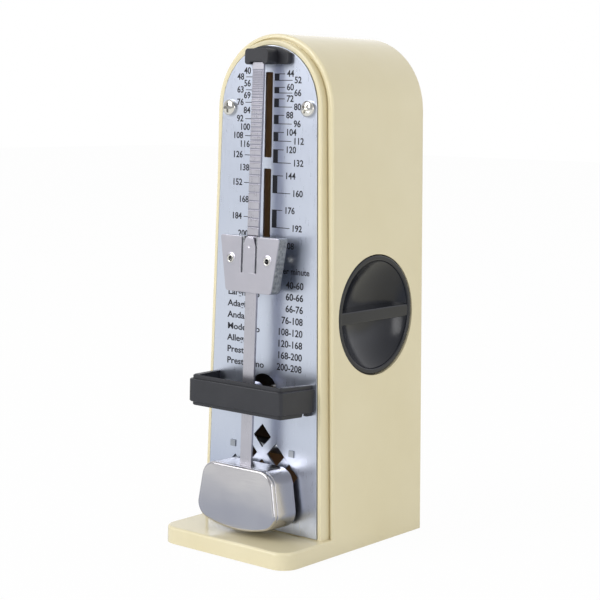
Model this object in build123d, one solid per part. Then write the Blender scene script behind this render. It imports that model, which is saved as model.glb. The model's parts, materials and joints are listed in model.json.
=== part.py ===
from build123d import *
import os
from math import acos, atan2, cos, degrees, pi, radians, sin, sqrt, tan

os.makedirs("parts", exist_ok=True)

# Pocket metronome with a spring movement. Millimetres, +Z up, front towards -Y, origin under the
# middle of the base. Three frames are used: the case frame, the movement frame (leans back with the
# dial, y = 0 on the dial's front) and the rod frame (leans back a little more, y = 0 in the rod).

# Case
height = 160.0
base_width = 52.1
base_depth = 69.75
toe_reach = 22.5          # how far the base stands in front of the housing
base_top = 5.8
toe_corner = 5.7
side_taper = 1.15         # degrees, each side
wall = 2.0
rear_round = 1.6
front_round = 0.9
base_round = 0.8
foot_radius = 4.0
foot_height = 1.3
foot_stand = 0.5          # how far the rubber stands out of the base
foot_inset = 8.5
slip = 0.05               # clearance of a hand fit
gap = 0.3                 # clearance between loose neighbours

# Dial
dial_lean = 0.7           # degrees
dial_stand = 3.48         # dial front to housing front, at pivot height
dial_side_margin = 3.35   # dial to the housing's side, at the base
dial_foot_gap = 0.4       # dial to the base's top
dial_top_margin = 3.6     # dial to the housing's top
dial_taper = 1.6
dial_thick = 0.8
collar_wall = 1.3
collar_set_back = 0.25
seat_width = 1.5
groove_width = 0.8
groove_depth = 0.7
slot_half_width = 1.45
slot_round = 0.5
upper_slot_drop = 8.1     # dial top to the upper slot
upper_slot_length = 26.0
slot_bridge = 3.4         # metal left between the slots
lower_slot_length = 26.9
pivot_hole_radius = 5.6
diamond_width = 7.1
diamond_height = 7.5
diamond_low_margin = 3.05  # lowest diamond to the dial's foot
diamond_high_margin = 4.75  # highest diamond to the pivot hole
hook_margin = 8.7         # hook to the dial's side
hook_width = 4.0
hook_drop = 2.0
dial_screw_margin = 3.24  # screw to the dial's side
dial_screw_drop = 19.1    # screw below the dial's top
dial_head_radius = 2.5
dial_head_height = 1.5
dial_shank_radius = 1.3
dial_shank_length = 9.0
boss_radius = 2.9
boss_length = 11.0
cross_width = 0.8
cross_span = 3.0

# Rod clip
clip_half_width = 4.6
clip_drop = 1.2           # below the dial's top
clip_height = 4.6
clip_reach = 6.3
clip_lip = 0.6
clip_flange = 1.7
clip_flange_half_width = 8.8
clip_edge_margin = 0.2
clip_peg_x = 3.5
clip_peg_radius = 1.1
clip_peg_head = 1.6
clip_roof = 0.35          # over the rod's top
clip_grip = 0.55          # rod end held in the clip

# Pendulum and its bearings
pivot_z = 49.5
rod_lean = 1.15           # degrees, rod against the dial
rod_stand = 6.95          # dial front to the rod's middle, at pivot height
rod_width = 4.5
rod_thick = 0.9
rod_lift = 7.2            # rod's lower end above the bob's
notch_depth = 0.18
staff_radius = 1.2
staff_pivot_radius = 0.75
staff_tail = 1.9          # pivot that shows behind the rear bracket
hub_radius = 3.6
hub_length = 3.2
run = 0.04                # radial clearance of a pivot

bridge_reach = 13.9
bridge_side_margin = 0.79  # bridge to the dial's side
bridge_splay = 2.2        # front half narrower than the rear
bridge_height = 9.4
bridge_band_height = 6.8
bridge_band_proud = 0.5
bridge_wall = 1.8
bridge_bush_radius = 2.4
bridge_bush_length = 2.8
bridge_boss_radius = 2.0
bridge_notch = 2.0
bridge_corner = 1.0

bob_drop = 22.1           # bob top below the pivot
bob_top_half = 13.4
bob_low_half = 16.4
bob_foot_gap = 1.5        # bob to the base's top
bob_front = 5.0           # in front of the rod's middle
bob_rear = 6.2            # behind it
bob_cover_thick = 1.8
bob_top_corner = 4.6
bob_low_corner = 4.6
bob_edge = 0.6

# Sliding weight; its top edge reads the tempo
gravity = 9810.0          # mm/s2
swing_inertia = 4174.0    # pendulum without its weight, over the weight's mass, mm2
swing_moment = 805300.0   # what holds that pendulum upright, over the weight's mass, mm2/s2
read_offset = 21.6        # weight's centre of swing below its top edge, with the dial's allowance
rest_tempo = 200
weight_height = 17.2
weight_top_half = 11.9
weight_low_half = 9.2
weight_corner = 1.2
weight_plate = 0.5
weight_front = 1.85       # plate front, in front of the rod's middle
weight_rear = 2.65
weight_slack = 0.15       # rod in the weight's channel
tongue_half_width = 2.45
tongue_slot = 0.75
tongue_length = 11.2
tongue_tip_half = 0.9
tongue_taper = 3.2
rivet_x = 7.4
rivet_drop = 7.2          # below the weight's top
rivet_radius = 1.35
rivet_bore = 0.75
rivet_head = 0.35

# Movement
plate_thick = 2.0
plate_side_gap = 1.4      # plate to the second pinion's leaves
plate_foot_drop = 23.5    # plate below the pendulum arbor
plate_head_margin = 4.675  # plate above the great wheel
plate_rear_margin = 0.575  # plate behind the great wheel
plate_cut = 4.0           # corner cut of a plate
tenon = 2.0
tenon_proud = 0.35
tenon_drop = 18.15        # lower tenons below the pendulum arbor
pillar_radius = 2.3
pillar_inset = 5.2
screw_shank_radius = 0.95
screw_shank_length = 5.0
screw_head_radius = 1.9
screw_head_height = 1.1
screw_slot = 0.5
winder_y = 25.0           # winding arbor, behind the dial's front
winder_rise = 24.4        # above the pendulum arbor
pressure_angle = 20.0
tooth_tip = 0.85          # modules above the pitch circle
tooth_root = 1.15         # modules below it
great_teeth = 60
great_module = 0.5
second_leaves = 10
second_teeth = 48
second_module = 0.4
escape_leaves = 8
escape_y = 13.0
backlash = 0.16           # share of the pitch left open
great_thick = 2.0
great_side_gap = 2.0      # great wheel to the second wheel
second_side_gap = 0.9     # second wheel to the escape bracket
second_thick = 1.2
second_hole_place = 0.56  # of the wheel's pitch radius
second_hole_size = 0.22
leaf_margin = 0.5         # pinion longer than its wheel, each end
train_pivot_radius = 0.8
train_arbor_radius = 1.0
drum_radius = 13.0
drum_wall = 1.0
drum_side_gap = 2.1       # drum to the left plate
winder_radius = 2.4
winder_pivot_radius = 2.0
winder_hub_radius = 3.4
square = 3.2
spring_thick = 0.25
spring_turns = 7
spring_side = 0.8
ratchet_radius = 6.5
ratchet_teeth = 24
ratchet_depth = 0.9
ratchet_thick = 1.5
ratchet_gap = 0.4         # plate to ratchet
ratchet_face = 1.0        # degrees a tooth's face leans
click_length = 12.5
click_thick = 0.5
click_foot = 5.0
click_angle = 150.0       # where the click meets the ratchet, from +Y towards +Z
click_lift = 30.0
click_seat = 0.3          # tip above the tooth's root
click_lead = 3.0          # degrees the tip stands off the tooth's face
crown_teeth = 15
crown_radius = 7.5
crown_wall = 0.8
crown_tip_x = 2.1
crown_tooth = 1.8
crown_rim = 0.7
crown_disc = 0.7
crown_land = 0.12         # tooth tip, share of the pitch
crown_slope = 0.7         # where the tooth's back ends, share of the pitch
crown_phase = 6.0
pallet_width = 1.4
pallet_thick = 0.5
pallet_reach = 2.6
pallet_angle = 48.0
pallet_sleeve = 0.4
bracket_thick = 1.1
bracket_width = 7.0
screw_foot = 1.3
bracket_side_gap = 0.7    # escape bracket to the crown wheel
bracket_foot_drop = 11.5  # its foot below the pendulum arbor
rear_bracket_gap = 5.1    # rear bracket to the rear pallet

# Winding knob, in the right side
knob_radius = 18.7
knob_ring = 1.7
knob_depth = 7.5
knob_dish = 5.6
knob_bar = 4.0
knob_inset = 0.15
knob_hub_radius = 4.0
knob_socket = 4.6

face_y = toe_reach - base_depth / 2
rear_y = base_depth / 2
dial_half_width = base_width / 2 - dial_side_margin
dial_bottom = base_top + dial_foot_gap
dial_top = height - dial_top_margin
dial_screw_z = dial_top - dial_screw_drop
hook_x = dial_half_width - hook_margin
upper_slot = (dial_top - upper_slot_drop - upper_slot_length, dial_top - upper_slot_drop)
lower_slot = (upper_slot[0] - slot_bridge - lower_slot_length, upper_slot[0] - slot_bridge)
clip_top = dial_top - clip_drop
clip_bottom = clip_top - clip_height
rod_top = clip_bottom + clip_grip
bob_top = pivot_z - bob_drop
bob_swing_radius = pivot_z - base_top - bob_foot_gap
rod_bottom = pivot_z - bob_swing_radius + rod_lift
movement_frame = Pos(0, face_y - dial_stand, pivot_z) * Rot(-dial_lean, 0, 0) * Pos(0, 0, -pivot_z)
rod_frame = movement_frame * Pos(0, -rod_stand, pivot_z) * Rot(-rod_lean, 0, 0) * Pos(0, 0, -pivot_z)


def tempo_list():
    steps = ((40, 60, 2), (60, 72, 3), (72, 120, 4), (120, 144, 6), (144, 208, 8))
    tempos = []
    for first, last, step in steps:
        tempos += list(range(first, last, step))
    return tempos + [208]


def tempo_height(tempo):
    # Where the weight's top edge stands for a tempo, from the pendulum's equation of motion.
    rate = (pi * tempo / 60) ** 2
    root = sqrt(gravity ** 2 - 4 * rate * (swing_inertia * rate - swing_moment))
    return pivot_z + read_offset + (root - gravity) / (2 * rate)


def arch_face(half_base, foot_z, top_z, taper, grow=0.0):
    # Face with leaning sides and a round top, in the XZ plane, grown outwards by an offset.
    lean = radians(taper)
    centre_z = (top_z - half_base * cos(lean) - foot_z * sin(lean)) / (1 - sin(lean))
    radius = top_z - centre_z + grow
    low = foot_z - grow
    half_low = half_base + grow / cos(lean) + grow * tan(lean)
    side_x = radius * cos(lean)
    side_z = centre_z + radius * sin(lean)
    outline = Polyline((-side_x, side_z), (-half_low, low), (half_low, low), (side_x, side_z))
    outline += ThreePointArc((side_x, side_z), (0, centre_z + radius), (-side_x, side_z))
    return Plane.XZ * make_face(outline)


def dial_face(grow=0.0):
    return arch_face(dial_half_width, dial_bottom, dial_top, dial_taper, grow)


def slab(face, y_front, y_rear):
    # Extrudes an XZ face from one depth to another.
    return extrude(Pos(0, y_front, 0) * face, y_rear - y_front, dir=(0, 1, 0))


def rod_along_y(radius, y_front, y_rear, x=0.0, z=0.0):
    length = y_rear - y_front
    return Pos(x, (y_front + y_rear) / 2, z) * Rot(90, 0, 0) * Cylinder(radius, length)


def rod_along_x(radius, x_left, x_right, y=0.0, z=0.0):
    length = x_right - x_left
    return Pos((x_left + x_right) / 2, y, z) * Rot(0, 90, 0) * Cylinder(radius, length)


def block(x_range, y_range, z_range):
    low = Vector(x_range[0], y_range[0], z_range[0])
    high = Vector(x_range[1], y_range[1], z_range[1])
    size = high - low
    return Pos((low + high) * 0.5) * Box(size.X, size.Y, size.Z)


def second_axis():
    # The second arbor meshes with the great wheel above it and the escape pinion below it.
    to_winder = great_module * (great_teeth + second_leaves) / 2
    to_escape = second_module * (second_teeth + escape_leaves) / 2
    run_y = escape_y - winder_y
    run_z = pivot_z - winder_z
    span = sqrt(run_y ** 2 + run_z ** 2)
    along = (to_winder ** 2 - to_escape ** 2 + span ** 2) / (2 * span)
    aside = sqrt(to_winder ** 2 - along ** 2)
    unit_y = run_y / span
    unit_z = run_z / span
    return (winder_y + along * unit_y - aside * unit_z, winder_z + along * unit_z + aside * unit_y)


def dial_half_at(z):
    return dial_half_width - (z - dial_bottom) * tan(radians(dial_taper))


winder_z = pivot_z + winder_rise
second_y, second_z = second_axis()
great_tip_radius = great_module * (great_teeth / 2 + tooth_tip)
crown_disc_x = crown_tip_x + crown_tooth + crown_rim
escape_bracket_x = crown_disc_x + crown_disc + bracket_side_gap
second_x = escape_bracket_x + bracket_thick + second_side_gap
great_x = second_x - great_side_gap - great_thick
plate_inner_x = second_x + second_thick + leaf_margin + plate_side_gap
plate_outer_x = plate_inner_x + plate_thick
plate_low = pivot_z - plate_foot_drop
plate_high = winder_z + great_tip_radius + plate_head_margin
plate_rear = winder_y + great_tip_radius + plate_rear_margin
tenon_low_z = pivot_z - tenon_drop
drum_left = drum_side_gap - plate_inner_x
escape_bracket_foot_z = pivot_z - bracket_foot_drop
rear_bracket_y = escape_y + crown_radius + pallet_width + rear_bracket_gap
staff_rear = rear_bracket_y + bracket_thick + staff_tail
dial_screw_x = dial_half_at(dial_screw_z) - dial_screw_margin
bridge_rear_half = dial_half_at(pivot_z) - bridge_side_margin
bridge_front_half = bridge_rear_half - bridge_splay
bridge_screw_x = bridge_rear_half - bridge_band_proud - bridge_wall - bridge_boss_radius
clip_peg_z = (clip_bottom + clip_top) / 2 - slip
ratchet_x = plate_outer_x + ratchet_gap
knob_centre = (movement_frame * Pos(0, winder_y, winder_z)).position
knob_face_x = base_width / 2 - knob_centre.Z * tan(radians(side_taper)) - knob_inset
knob_back_x = knob_face_x - knob_depth


def housing():
    silhouette = arch_face(base_width / 2, foot_stand, height, side_taper)
    shell = slab(silhouette, face_y, rear_y)
    rear_edges = shell.faces().sort_by(Axis.Y)[-1].edges().sort_by(Axis.Z)[1:]
    shell = fillet(rear_edges, rear_round)
    front_edges = shell.faces().sort_by(Axis.Y)[0].edges().sort_by(Axis.Z)[1:]
    shell = fillet(front_edges, front_round)
    inner = arch_face(base_width / 2, foot_stand, height, side_taper, -wall)
    above = block((-base_width, base_width), (-base_depth, base_depth), (base_top, height))
    shell = shell - (slab(inner, face_y + wall, rear_y - wall) & above)
    shell = shell + toe() + movement_frame * collar()
    shell = shell - movement_frame * slab(dial_face(gap), -dial_stand, dial_thick)
    shell = shell - movement_frame * slab(dial_face(-seat_width), -dial_stand, 2 * dial_stand)
    shell = shell - collar_groove()
    shell = shell + [movement_frame * screw_boss(side) for side in (-1, 1)]
    shell = shell - [movement_frame * screw_hole(side) for side in (-1, 1)]
    shell = shell - [movement_frame * dial_hook(side, slip) for side in (-1, 1)]
    shell = shell - [Pos(x, y, foot_stand) * Cylinder(foot_radius + slip, 2 * (foot_height - foot_stand))
                     for x, y in foot_places()]
    return shell - rod_along_x(knob_radius + gap, knob_back_x, base_width, knob_centre.Y, knob_centre.Z)


def toe():
    # The base's front part: same side lean as the housing, round front corners.
    half = base_width / 2
    half_top = half - (base_top - foot_stand) * tan(radians(side_taper))
    outline = Polyline((-half_top, base_top), (-half, foot_stand), (half, foot_stand),
                       (half_top, base_top), close=True)
    foot = slab(Plane.XZ * make_face(outline), -base_depth / 2, face_y + wall)
    front = foot.faces().sort_by(Axis.Y)[0]
    corners = front.edges().filter_by(lambda edge: abs(edge.center().X) > half / 2)
    foot = fillet(corners, toe_corner)
    top_edges = foot.faces().sort_by(Axis.Z)[-1].edges().sort_by(Axis.Y)[:-1]
    return fillet(top_edges, base_round)


def collar():
    ring = slab(dial_face(gap + collar_wall), collar_set_back, dial_stand + wall)
    front = ring.faces().sort_by(Axis.Y)[0].edges().sort_by(Axis.Z)[1:]
    return fillet(front, collar_wall / 3)


def collar_groove():
    ring = dial_face(gap + collar_wall + groove_width) - dial_face(gap + collar_wall)
    reach = block((-base_width, base_width), (face_y, face_y + groove_depth), (base_top, height))
    return (movement_frame * slab(ring, 0, 3 * dial_stand)) & reach


def screw_boss(side):
    length = dial_thick + boss_length
    boss = rod_along_y(boss_radius, dial_thick, length, side * dial_screw_x, dial_screw_z)
    inner_wall = base_width / 2 - dial_screw_z * tan(radians(side_taper)) - wall / 2
    edges = sorted((side * dial_screw_x, side * inner_wall))
    half = boss_radius / 2
    return boss + block(edges, (dial_stand, length), (dial_screw_z - half, dial_screw_z + half))


def screw_hole(side):
    depth = dial_thick + dial_shank_length
    return rod_along_y(dial_shank_radius + slip, 0, depth, side * dial_screw_x, dial_screw_z)


def dial_hook(side, grow=0.0):
    half = hook_width / 2 + grow
    x_range = (side * hook_x - half, side * hook_x + half)
    return block(x_range, (-grow, dial_thick + grow), (dial_bottom - hook_drop - grow, dial_bottom + slip))


def foot_places():
    x = base_width / 2 - foot_inset
    y = base_depth / 2 - foot_inset
    return [(-x, -y), (x, -y), (-x, y), (x, y)]


def rubber_feet():
    foot = Pos(0, 0, foot_height / 2) * Cylinder(foot_radius, foot_height)
    return Part() + [Pos(x, y, 0) * foot for x, y in foot_places()]


def diamond_places():
    # Rows of 1, 2, 3, 2 and 1 diamonds, spread between the dial's foot and the pivot hole.
    lowest = dial_bottom + diamond_low_margin + diamond_height / 2
    highest = pivot_z - pivot_hole_radius - diamond_high_margin - diamond_height / 2
    rows = (1, 2, 3, 2, 1)
    pitch = (highest - lowest) / (len(rows) - 1)
    places = []
    for row, count in enumerate(rows):
        places += [((2 * place - count + 1) * pitch, highest - row * pitch) for place in range(count)]
    return places


def diamond(x, z):
    half_x = diamond_width / 2
    half_z = diamond_height / 2
    outline = Polyline((x - half_x, z), (x, z - half_z), (x + half_x, z), (x, z + half_z), close=True)
    return slab(Plane.XZ * make_face(outline), -1, 2 * dial_thick)


def dial_slot(span):
    cut = block((-slot_half_width, slot_half_width), (-1, 2 * dial_thick), span)
    return fillet(cut.edges().filter_by(Axis.Y), slot_round)


def tenon_places():
    x = plate_inner_x + plate_thick / 2
    return [(side * x, z) for side in (-1, 1) for z in (tenon_low_z, pivot_z)]


def tenon_block(x, z, proud, grow=0.0):
    half = tenon / 2 + grow
    return block((x - half, x + half), (-proud, dial_thick + slip), (z - half, z + half))


def dial_plate():
    plate = slab(dial_face(), 0, dial_thick) + [dial_hook(side) for side in (-1, 1)]
    plate = plate - dial_slot(upper_slot) - dial_slot(lower_slot)
    plate = plate - [diamond(x, z) for x, z in diamond_places()]
    plate = plate - rod_along_y(pivot_hole_radius, -1, 2 * dial_thick, 0, pivot_z)
    plate = plate - [tenon_block(x, z, 1, slip) for x, z in tenon_places()]
    for side in (-1, 1):
        for radius, x, z in ((dial_shank_radius, dial_screw_x, dial_screw_z),
                             (clip_peg_radius, clip_peg_x, clip_peg_z),
                             (screw_shank_radius, bridge_screw_x, pivot_z)):
            plate = plate - rod_along_y(radius + slip, -1, 2 * dial_thick, side * x, z)
    return movement_frame * plate


def pan_screw(side):
    head = rod_along_y(dial_head_radius, -dial_head_height, 0, side * dial_screw_x, dial_screw_z)
    head = fillet(head.faces().sort_by(Axis.Y)[0].edges(), dial_head_height / 2)
    shank = rod_along_y(dial_shank_radius, 0, dial_shank_length, side * dial_screw_x, dial_screw_z)
    for turn in (0, 90):
        arm = Rot(0, turn, 0) * Box(cross_span, dial_head_height, cross_width)
        head = head - Pos(side * dial_screw_x, -dial_head_height, dial_screw_z) * arm
    return head + shank


def dial_screws():
    return movement_frame * (pan_screw(-1) + pan_screw(1))


def rod_clip():
    roof = rod_top + clip_roof
    flange = slab(dial_face(-clip_edge_margin), -clip_flange, 0)
    flange_half = clip_flange_half_width
    flange = flange & block((-flange_half, flange_half), (-clip_flange, 0), (clip_bottom, height))
    across = (-clip_half_width, clip_half_width)
    hood = block(across, (-clip_reach, 0), (roof, clip_top))
    hood = hood + block(across, (-clip_reach, clip_lip - clip_reach), (clip_bottom, roof))
    hood = fillet(hood.edges().filter_by(Axis.Z).sort_by(Axis.Y)[:2], clip_lip / 2)
    notch_half = rod_width / 2 + gap
    notch = block((-notch_half, notch_half), (-2 * clip_reach, -clip_flange - slip), (0, rod_top + slip))
    clip = flange + hood - notch
    for side in (-1, 1):
        clip = clip + rod_along_y(clip_peg_radius, -slip, dial_thick, side * clip_peg_x, clip_peg_z)
        clip = clip + rod_along_y(clip_peg_head, dial_thick, 2 * dial_thick, side * clip_peg_x, clip_peg_z)
    return movement_frame * clip


def bridge_prism(inset, tall):
    front = bridge_front_half - inset
    rear = bridge_rear_half - inset
    reach = bridge_reach - inset
    plan = Polyline((-rear, 0), (-front, -reach), (front, -reach), (rear, 0), close=True)
    prism = Pos(0, 0, pivot_z - tall / 2) * extrude(make_face(plan), tall)
    corners = prism.edges().filter_by(Axis.Z).sort_by(Axis.Y)[:2]
    return fillet(corners, bridge_corner)


def pendulum_bridge():
    front_inner = bridge_band_proud + bridge_wall - bridge_reach
    bush_rear = front_inner + bridge_bush_length
    bridge = bridge_prism(bridge_band_proud, bridge_height) + bridge_prism(0, bridge_band_height)
    bridge = bridge - bridge_prism(bridge_band_proud + bridge_wall, 2 * bridge_height)
    bridge = bridge + rod_along_y(bridge_bush_radius, front_inner - slip, bush_rear, 0, pivot_z)
    bridge = bridge - rod_along_y(staff_pivot_radius + run, front_inner, bush_rear + slip, 0, pivot_z)
    low = pivot_z - bridge_height / 2
    web_z = (pivot_z - bridge_notch / 2, pivot_z + bridge_notch / 2)
    for side in (-1, 1):
        boss = rod_along_y(bridge_boss_radius, -bridge_reach / 2, 0, side * bridge_screw_x, pivot_z)
        hole = rod_along_y(screw_shank_radius + slip, -screw_shank_length, 0, side * bridge_screw_x, pivot_z)
        arm_edges = sorted((side * bridge_screw_x, side * (bridge_rear_half - bridge_wall)))
        bridge = bridge + boss + block(arm_edges, (-bridge_reach / 2, 0), web_z) - hole
        sides = sorted((side * bridge_screw_x, side * 2 * bridge_rear_half))
        bridge = bridge - block(sides, (-2 * bridge_notch, -bridge_notch), (low, low + bridge_notch / 2))
    return movement_frame * bridge


def small_screw():
    # Slotted screw along +X: the shank starts at the origin, the head stands behind it.
    head = rod_along_x(screw_head_radius, -screw_head_height, 0)
    head = fillet(head.faces().sort_by(Axis.X)[0].edges(), screw_head_height / 4)
    slot = Pos(-screw_head_height, 0, 0) * Box(screw_head_height, 2 * screw_head_radius + gap, screw_slot)
    return head - slot + rod_along_x(screw_shank_radius, -slip, screw_shank_length)


def bridge_screws():
    turned = Rot(0, 0, -90) * small_screw()
    screws = [Pos(side * bridge_screw_x, dial_thick, pivot_z) * turned for side in (-1, 1)]
    return movement_frame * (Part() + screws)


def pillar_places():
    front = dial_thick + pillar_inset
    rear = plate_rear - pillar_inset
    return [(y, z) for y in (front, rear) for z in (plate_low + pillar_inset, plate_high - pillar_inset)]


def plate_screw_places(side):
    # Left plate: pillars and rear bracket. Right plate: pillars, escape bracket and click.
    if side < 0:
        return pillar_places() + [(rear_screw_y(), pivot_z)]
    return pillar_places() + [(escape_y, escape_screw_z()), click_screw_place()]


def rear_screw_y():
    return rear_bracket_y + bracket_width / 2 + bracket_thick / 2


def escape_screw_z():
    return escape_bracket_foot_z - bracket_width / 2


def movement_plate(side):
    front = dial_thick
    outline = Polyline((front, plate_low), (front, plate_high), (plate_rear - plate_cut, plate_high),
                       (plate_rear, plate_high - plate_cut), (plate_rear, plate_low + plate_cut),
                       (plate_rear - plate_cut, plate_low), close=True)
    left = min(side * plate_inner_x, side * plate_outer_x)
    plate = Pos(left, 0, 0) * extrude(Plane.YZ * make_face(outline), plate_thick)
    plate = plate + [tenon_block(x, z, tenon_proud) for x, z in tenon_places() if x * side > 0]
    through = (left - 1, left + plate_thick + 1)
    plate = plate - rod_along_x(winder_pivot_radius + run, *through, winder_y, winder_z)
    plate = plate - rod_along_x(train_pivot_radius + run, *through, second_y, second_z)
    if side > 0:
        plate = plate - rod_along_x(train_pivot_radius + run, *through, escape_y, pivot_z)
    screw_bore = screw_shank_radius + slip
    plate = plate - [rod_along_x(screw_bore, *through, y, z) for y, z in plate_screw_places(side)]
    return movement_frame * plate


def pillars():
    posts = []
    for y, z in pillar_places():
        post = rod_along_x(pillar_radius, -plate_inner_x, plate_inner_x, y, z)
        for side in (-1, 1):
            end = side * plate_inner_x
            ends = sorted((end, end - side * screw_shank_length))
            post = post - rod_along_x(screw_shank_radius + slip, *ends, y, z)
        posts.append(post)
    return movement_frame * (Part() + posts)


def movement_screws():
    screws = []
    for side in (-1, 1):
        for y, z in plate_screw_places(side):
            lift = click_thick if side > 0 and (y, z) == click_screw_place() else 0
            turned = small_screw() if side < 0 else Rot(0, 0, 180) * small_screw()
            screws.append(Pos(side * (plate_outer_x + lift), y, z) * turned)
    return movement_frame * (Part() + screws)


def rear_bracket():
    # Carries the pendulum arbor's rear pivot; screwed inside the left plate.
    half = bracket_width / 2
    z_range = (pivot_z - half, pivot_z + half)
    web = block((-plate_inner_x, half), (rear_bracket_y, rear_bracket_y + bracket_thick), z_range)
    foot_end = rear_bracket_y + bracket_thick + bracket_width
    foot = block((-plate_inner_x, screw_foot - plate_inner_x), (rear_bracket_y, foot_end), z_range)
    bracket = web + foot
    bracket = bracket - rod_along_y(staff_pivot_radius + run, 0, foot_end, 0, pivot_z)
    hole = rod_along_x(screw_shank_radius + slip, -plate_outer_x, screw_foot, rear_screw_y(), pivot_z)
    return movement_frame * (bracket - hole)


def escape_bracket():
    # Carries the escape arbor beside its wheel; screwed inside the right plate.
    half = bracket_width / 2
    y_range = (escape_y - half, escape_y + half)
    low = escape_bracket_foot_z
    web = block((escape_bracket_x, escape_bracket_x + bracket_thick), y_range, (low, pivot_z + half))
    shelf = block((escape_bracket_x, plate_inner_x), y_range, (low, low + bracket_thick))
    foot = block((plate_inner_x - bracket_thick, plate_inner_x), y_range, (low - bracket_width, low + slip))
    bracket = web + shelf + foot
    bearing = train_arbor_radius + run
    bracket = bracket - rod_along_x(bearing, 0, escape_bracket_x + 2 * bracket_thick, escape_y, pivot_z)
    hole = rod_along_x(screw_shank_radius + slip, escape_bracket_x, plate_outer_x, escape_y, escape_screw_z())
    return movement_frame * (bracket - hole)


def polar(radius, angle):
    return (radius * cos(angle), radius * sin(angle))


def gear(teeth, module, x_left, x_right, centre, tooth_at):
    # Spur gear about X; one tooth points at the angle tooth_at, from +Y towards +Z.
    pitch_radius = module * teeth / 2
    base_radius = pitch_radius * cos(radians(pressure_angle))
    tip_radius = pitch_radius + tooth_tip * module
    root_radius = pitch_radius - tooth_root * module
    start_radius = max(base_radius, root_radius)
    involute = tan(radians(pressure_angle)) - radians(pressure_angle)
    half_tooth = pi / (2 * teeth) * (1 - backlash) + involute
    flank = []
    for step in range(4):
        radius = start_radius + (tip_radius - start_radius) * step / 3
        pressure = acos(base_radius / radius)
        flank.append((radius, half_tooth - tan(pressure) + pressure))
    if root_radius < base_radius:
        flank.insert(0, (root_radius, flank[0][1]))
    points = []
    for tooth in range(teeth):
        middle = radians(tooth_at) + 2 * pi * tooth / teeth
        points += [polar(radius, middle - half) for radius, half in flank]
        points += [polar(radius, middle + half) for radius, half in reversed(flank)]
    face = Plane.YZ * make_face(Polyline(*points, close=True))
    return Pos(x_left, *centre) * extrude(face, x_right - x_left)


def mesh_angle(centre, other):
    return degrees(atan2(other[1] - centre[1], other[0] - centre[0]))


def winding_arbor():
    arbor = rod_along_x(winder_pivot_radius, -plate_outer_x - gap, plate_outer_x + slip)
    arbor = arbor + rod_along_x(winder_radius, gap - plate_inner_x, plate_inner_x - gap)
    arbor = arbor + rod_along_x(winder_hub_radius, drum_left + drum_wall + gap, great_x - gap)
    key_end = knob_back_x + knob_socket - slip
    arbor = arbor + block((plate_outer_x, key_end), (-square / 2, square / 2), (-square / 2, square / 2))
    return movement_frame * Pos(0, winder_y, winder_z) * arbor


def barrel_drum():
    drum = rod_along_x(drum_radius, drum_left, great_x + slip)
    to_second = mesh_angle((winder_y, winder_z), (second_y, second_z))
    drum = drum + gear(great_teeth, great_module, great_x, great_x + great_thick, (0, 0), to_second)
    drum = drum - rod_along_x(drum_radius - drum_wall, drum_left, great_x)
    drum = drum - rod_along_x(winder_radius + run, drum_left, great_x + 2 * great_thick)
    return movement_frame * Pos(0, winder_y, winder_z) * drum


def barrel_cover():
    cover = rod_along_x(drum_radius - drum_wall - slip, drum_left, drum_left + drum_wall)
    cover = cover - rod_along_x(winder_radius + run, drum_left, great_x)
    return movement_frame * Pos(0, winder_y, winder_z) * cover


def mainspring():
    inner = winder_hub_radius + gap
    outer = drum_radius - drum_wall - gap - spring_thick
    steps = 18 * spring_turns
    inside = []
    outside = []
    for step in range(steps + 1):
        radius = inner + (outer - inner) * step / steps
        angle = 2 * pi * spring_turns * step / steps
        inside.append(polar(radius, angle))
        outside.append(polar(radius + spring_thick, angle))
    face = Plane.YZ * make_face(Polyline(*inside, *reversed(outside), close=True))
    left = drum_left + drum_wall + spring_side
    strip = Pos(left, 0, 0) * extrude(face, great_x - spring_side - left)
    return movement_frame * Pos(0, winder_y, winder_z) * strip


def ratchet_wheel():
    points = []
    for tooth in range(ratchet_teeth):
        angle = radians(click_angle) + 2 * pi * tooth / ratchet_teeth
        points.append(polar(ratchet_radius, angle))
        points.append(polar(ratchet_radius - ratchet_depth, angle + radians(ratchet_face)))
    wheel = extrude(Plane.YZ * make_face(Polyline(*points, close=True)), ratchet_thick)
    half = square / 2 + slip
    wheel = Pos(ratchet_x, 0, 0) * wheel - block((0, base_width), (-half, half), (-half, half))
    return movement_frame * Pos(0, winder_y, winder_z) * wheel


def click_run():
    # Tip and foot of the click, and its direction, in the plane of the ratchet.
    tip_angle = radians(click_angle + click_lead)
    tip = polar(ratchet_radius - ratchet_depth + click_seat, tip_angle)
    heading = tip_angle + radians(90 - click_lift)
    return (winder_y + tip[0], winder_z + tip[1]), heading


def click_screw_place():
    (tip_y, tip_z), heading = click_run()
    reach = click_length + click_foot / 2
    return (tip_y + reach * cos(heading), tip_z + reach * sin(heading))


def click_spring():
    # A leaf with a turned foot that lies on the plate under its screw.
    (tip_y, tip_z), heading = click_run()
    leaf_end = ratchet_x + ratchet_thick
    leaf = block((ratchet_x, leaf_end), (0, click_length), (-click_thick, 0))
    bend = (click_length - click_thick, click_length + click_thick)
    shin = block((plate_outer_x, leaf_end), bend, (-click_thick, 0))
    half = click_foot / 2
    foot_end = click_length + click_foot
    foot = block((plate_outer_x, plate_outer_x + click_thick), (click_length, foot_end), (-half, half))
    hole = rod_along_x(screw_shank_radius + slip, 0, base_width, click_length + half, 0)
    spring = leaf + shin + foot - hole
    return movement_frame * Pos(0, tip_y, tip_z) * Rot(degrees(heading), 0, 0) * spring


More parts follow.
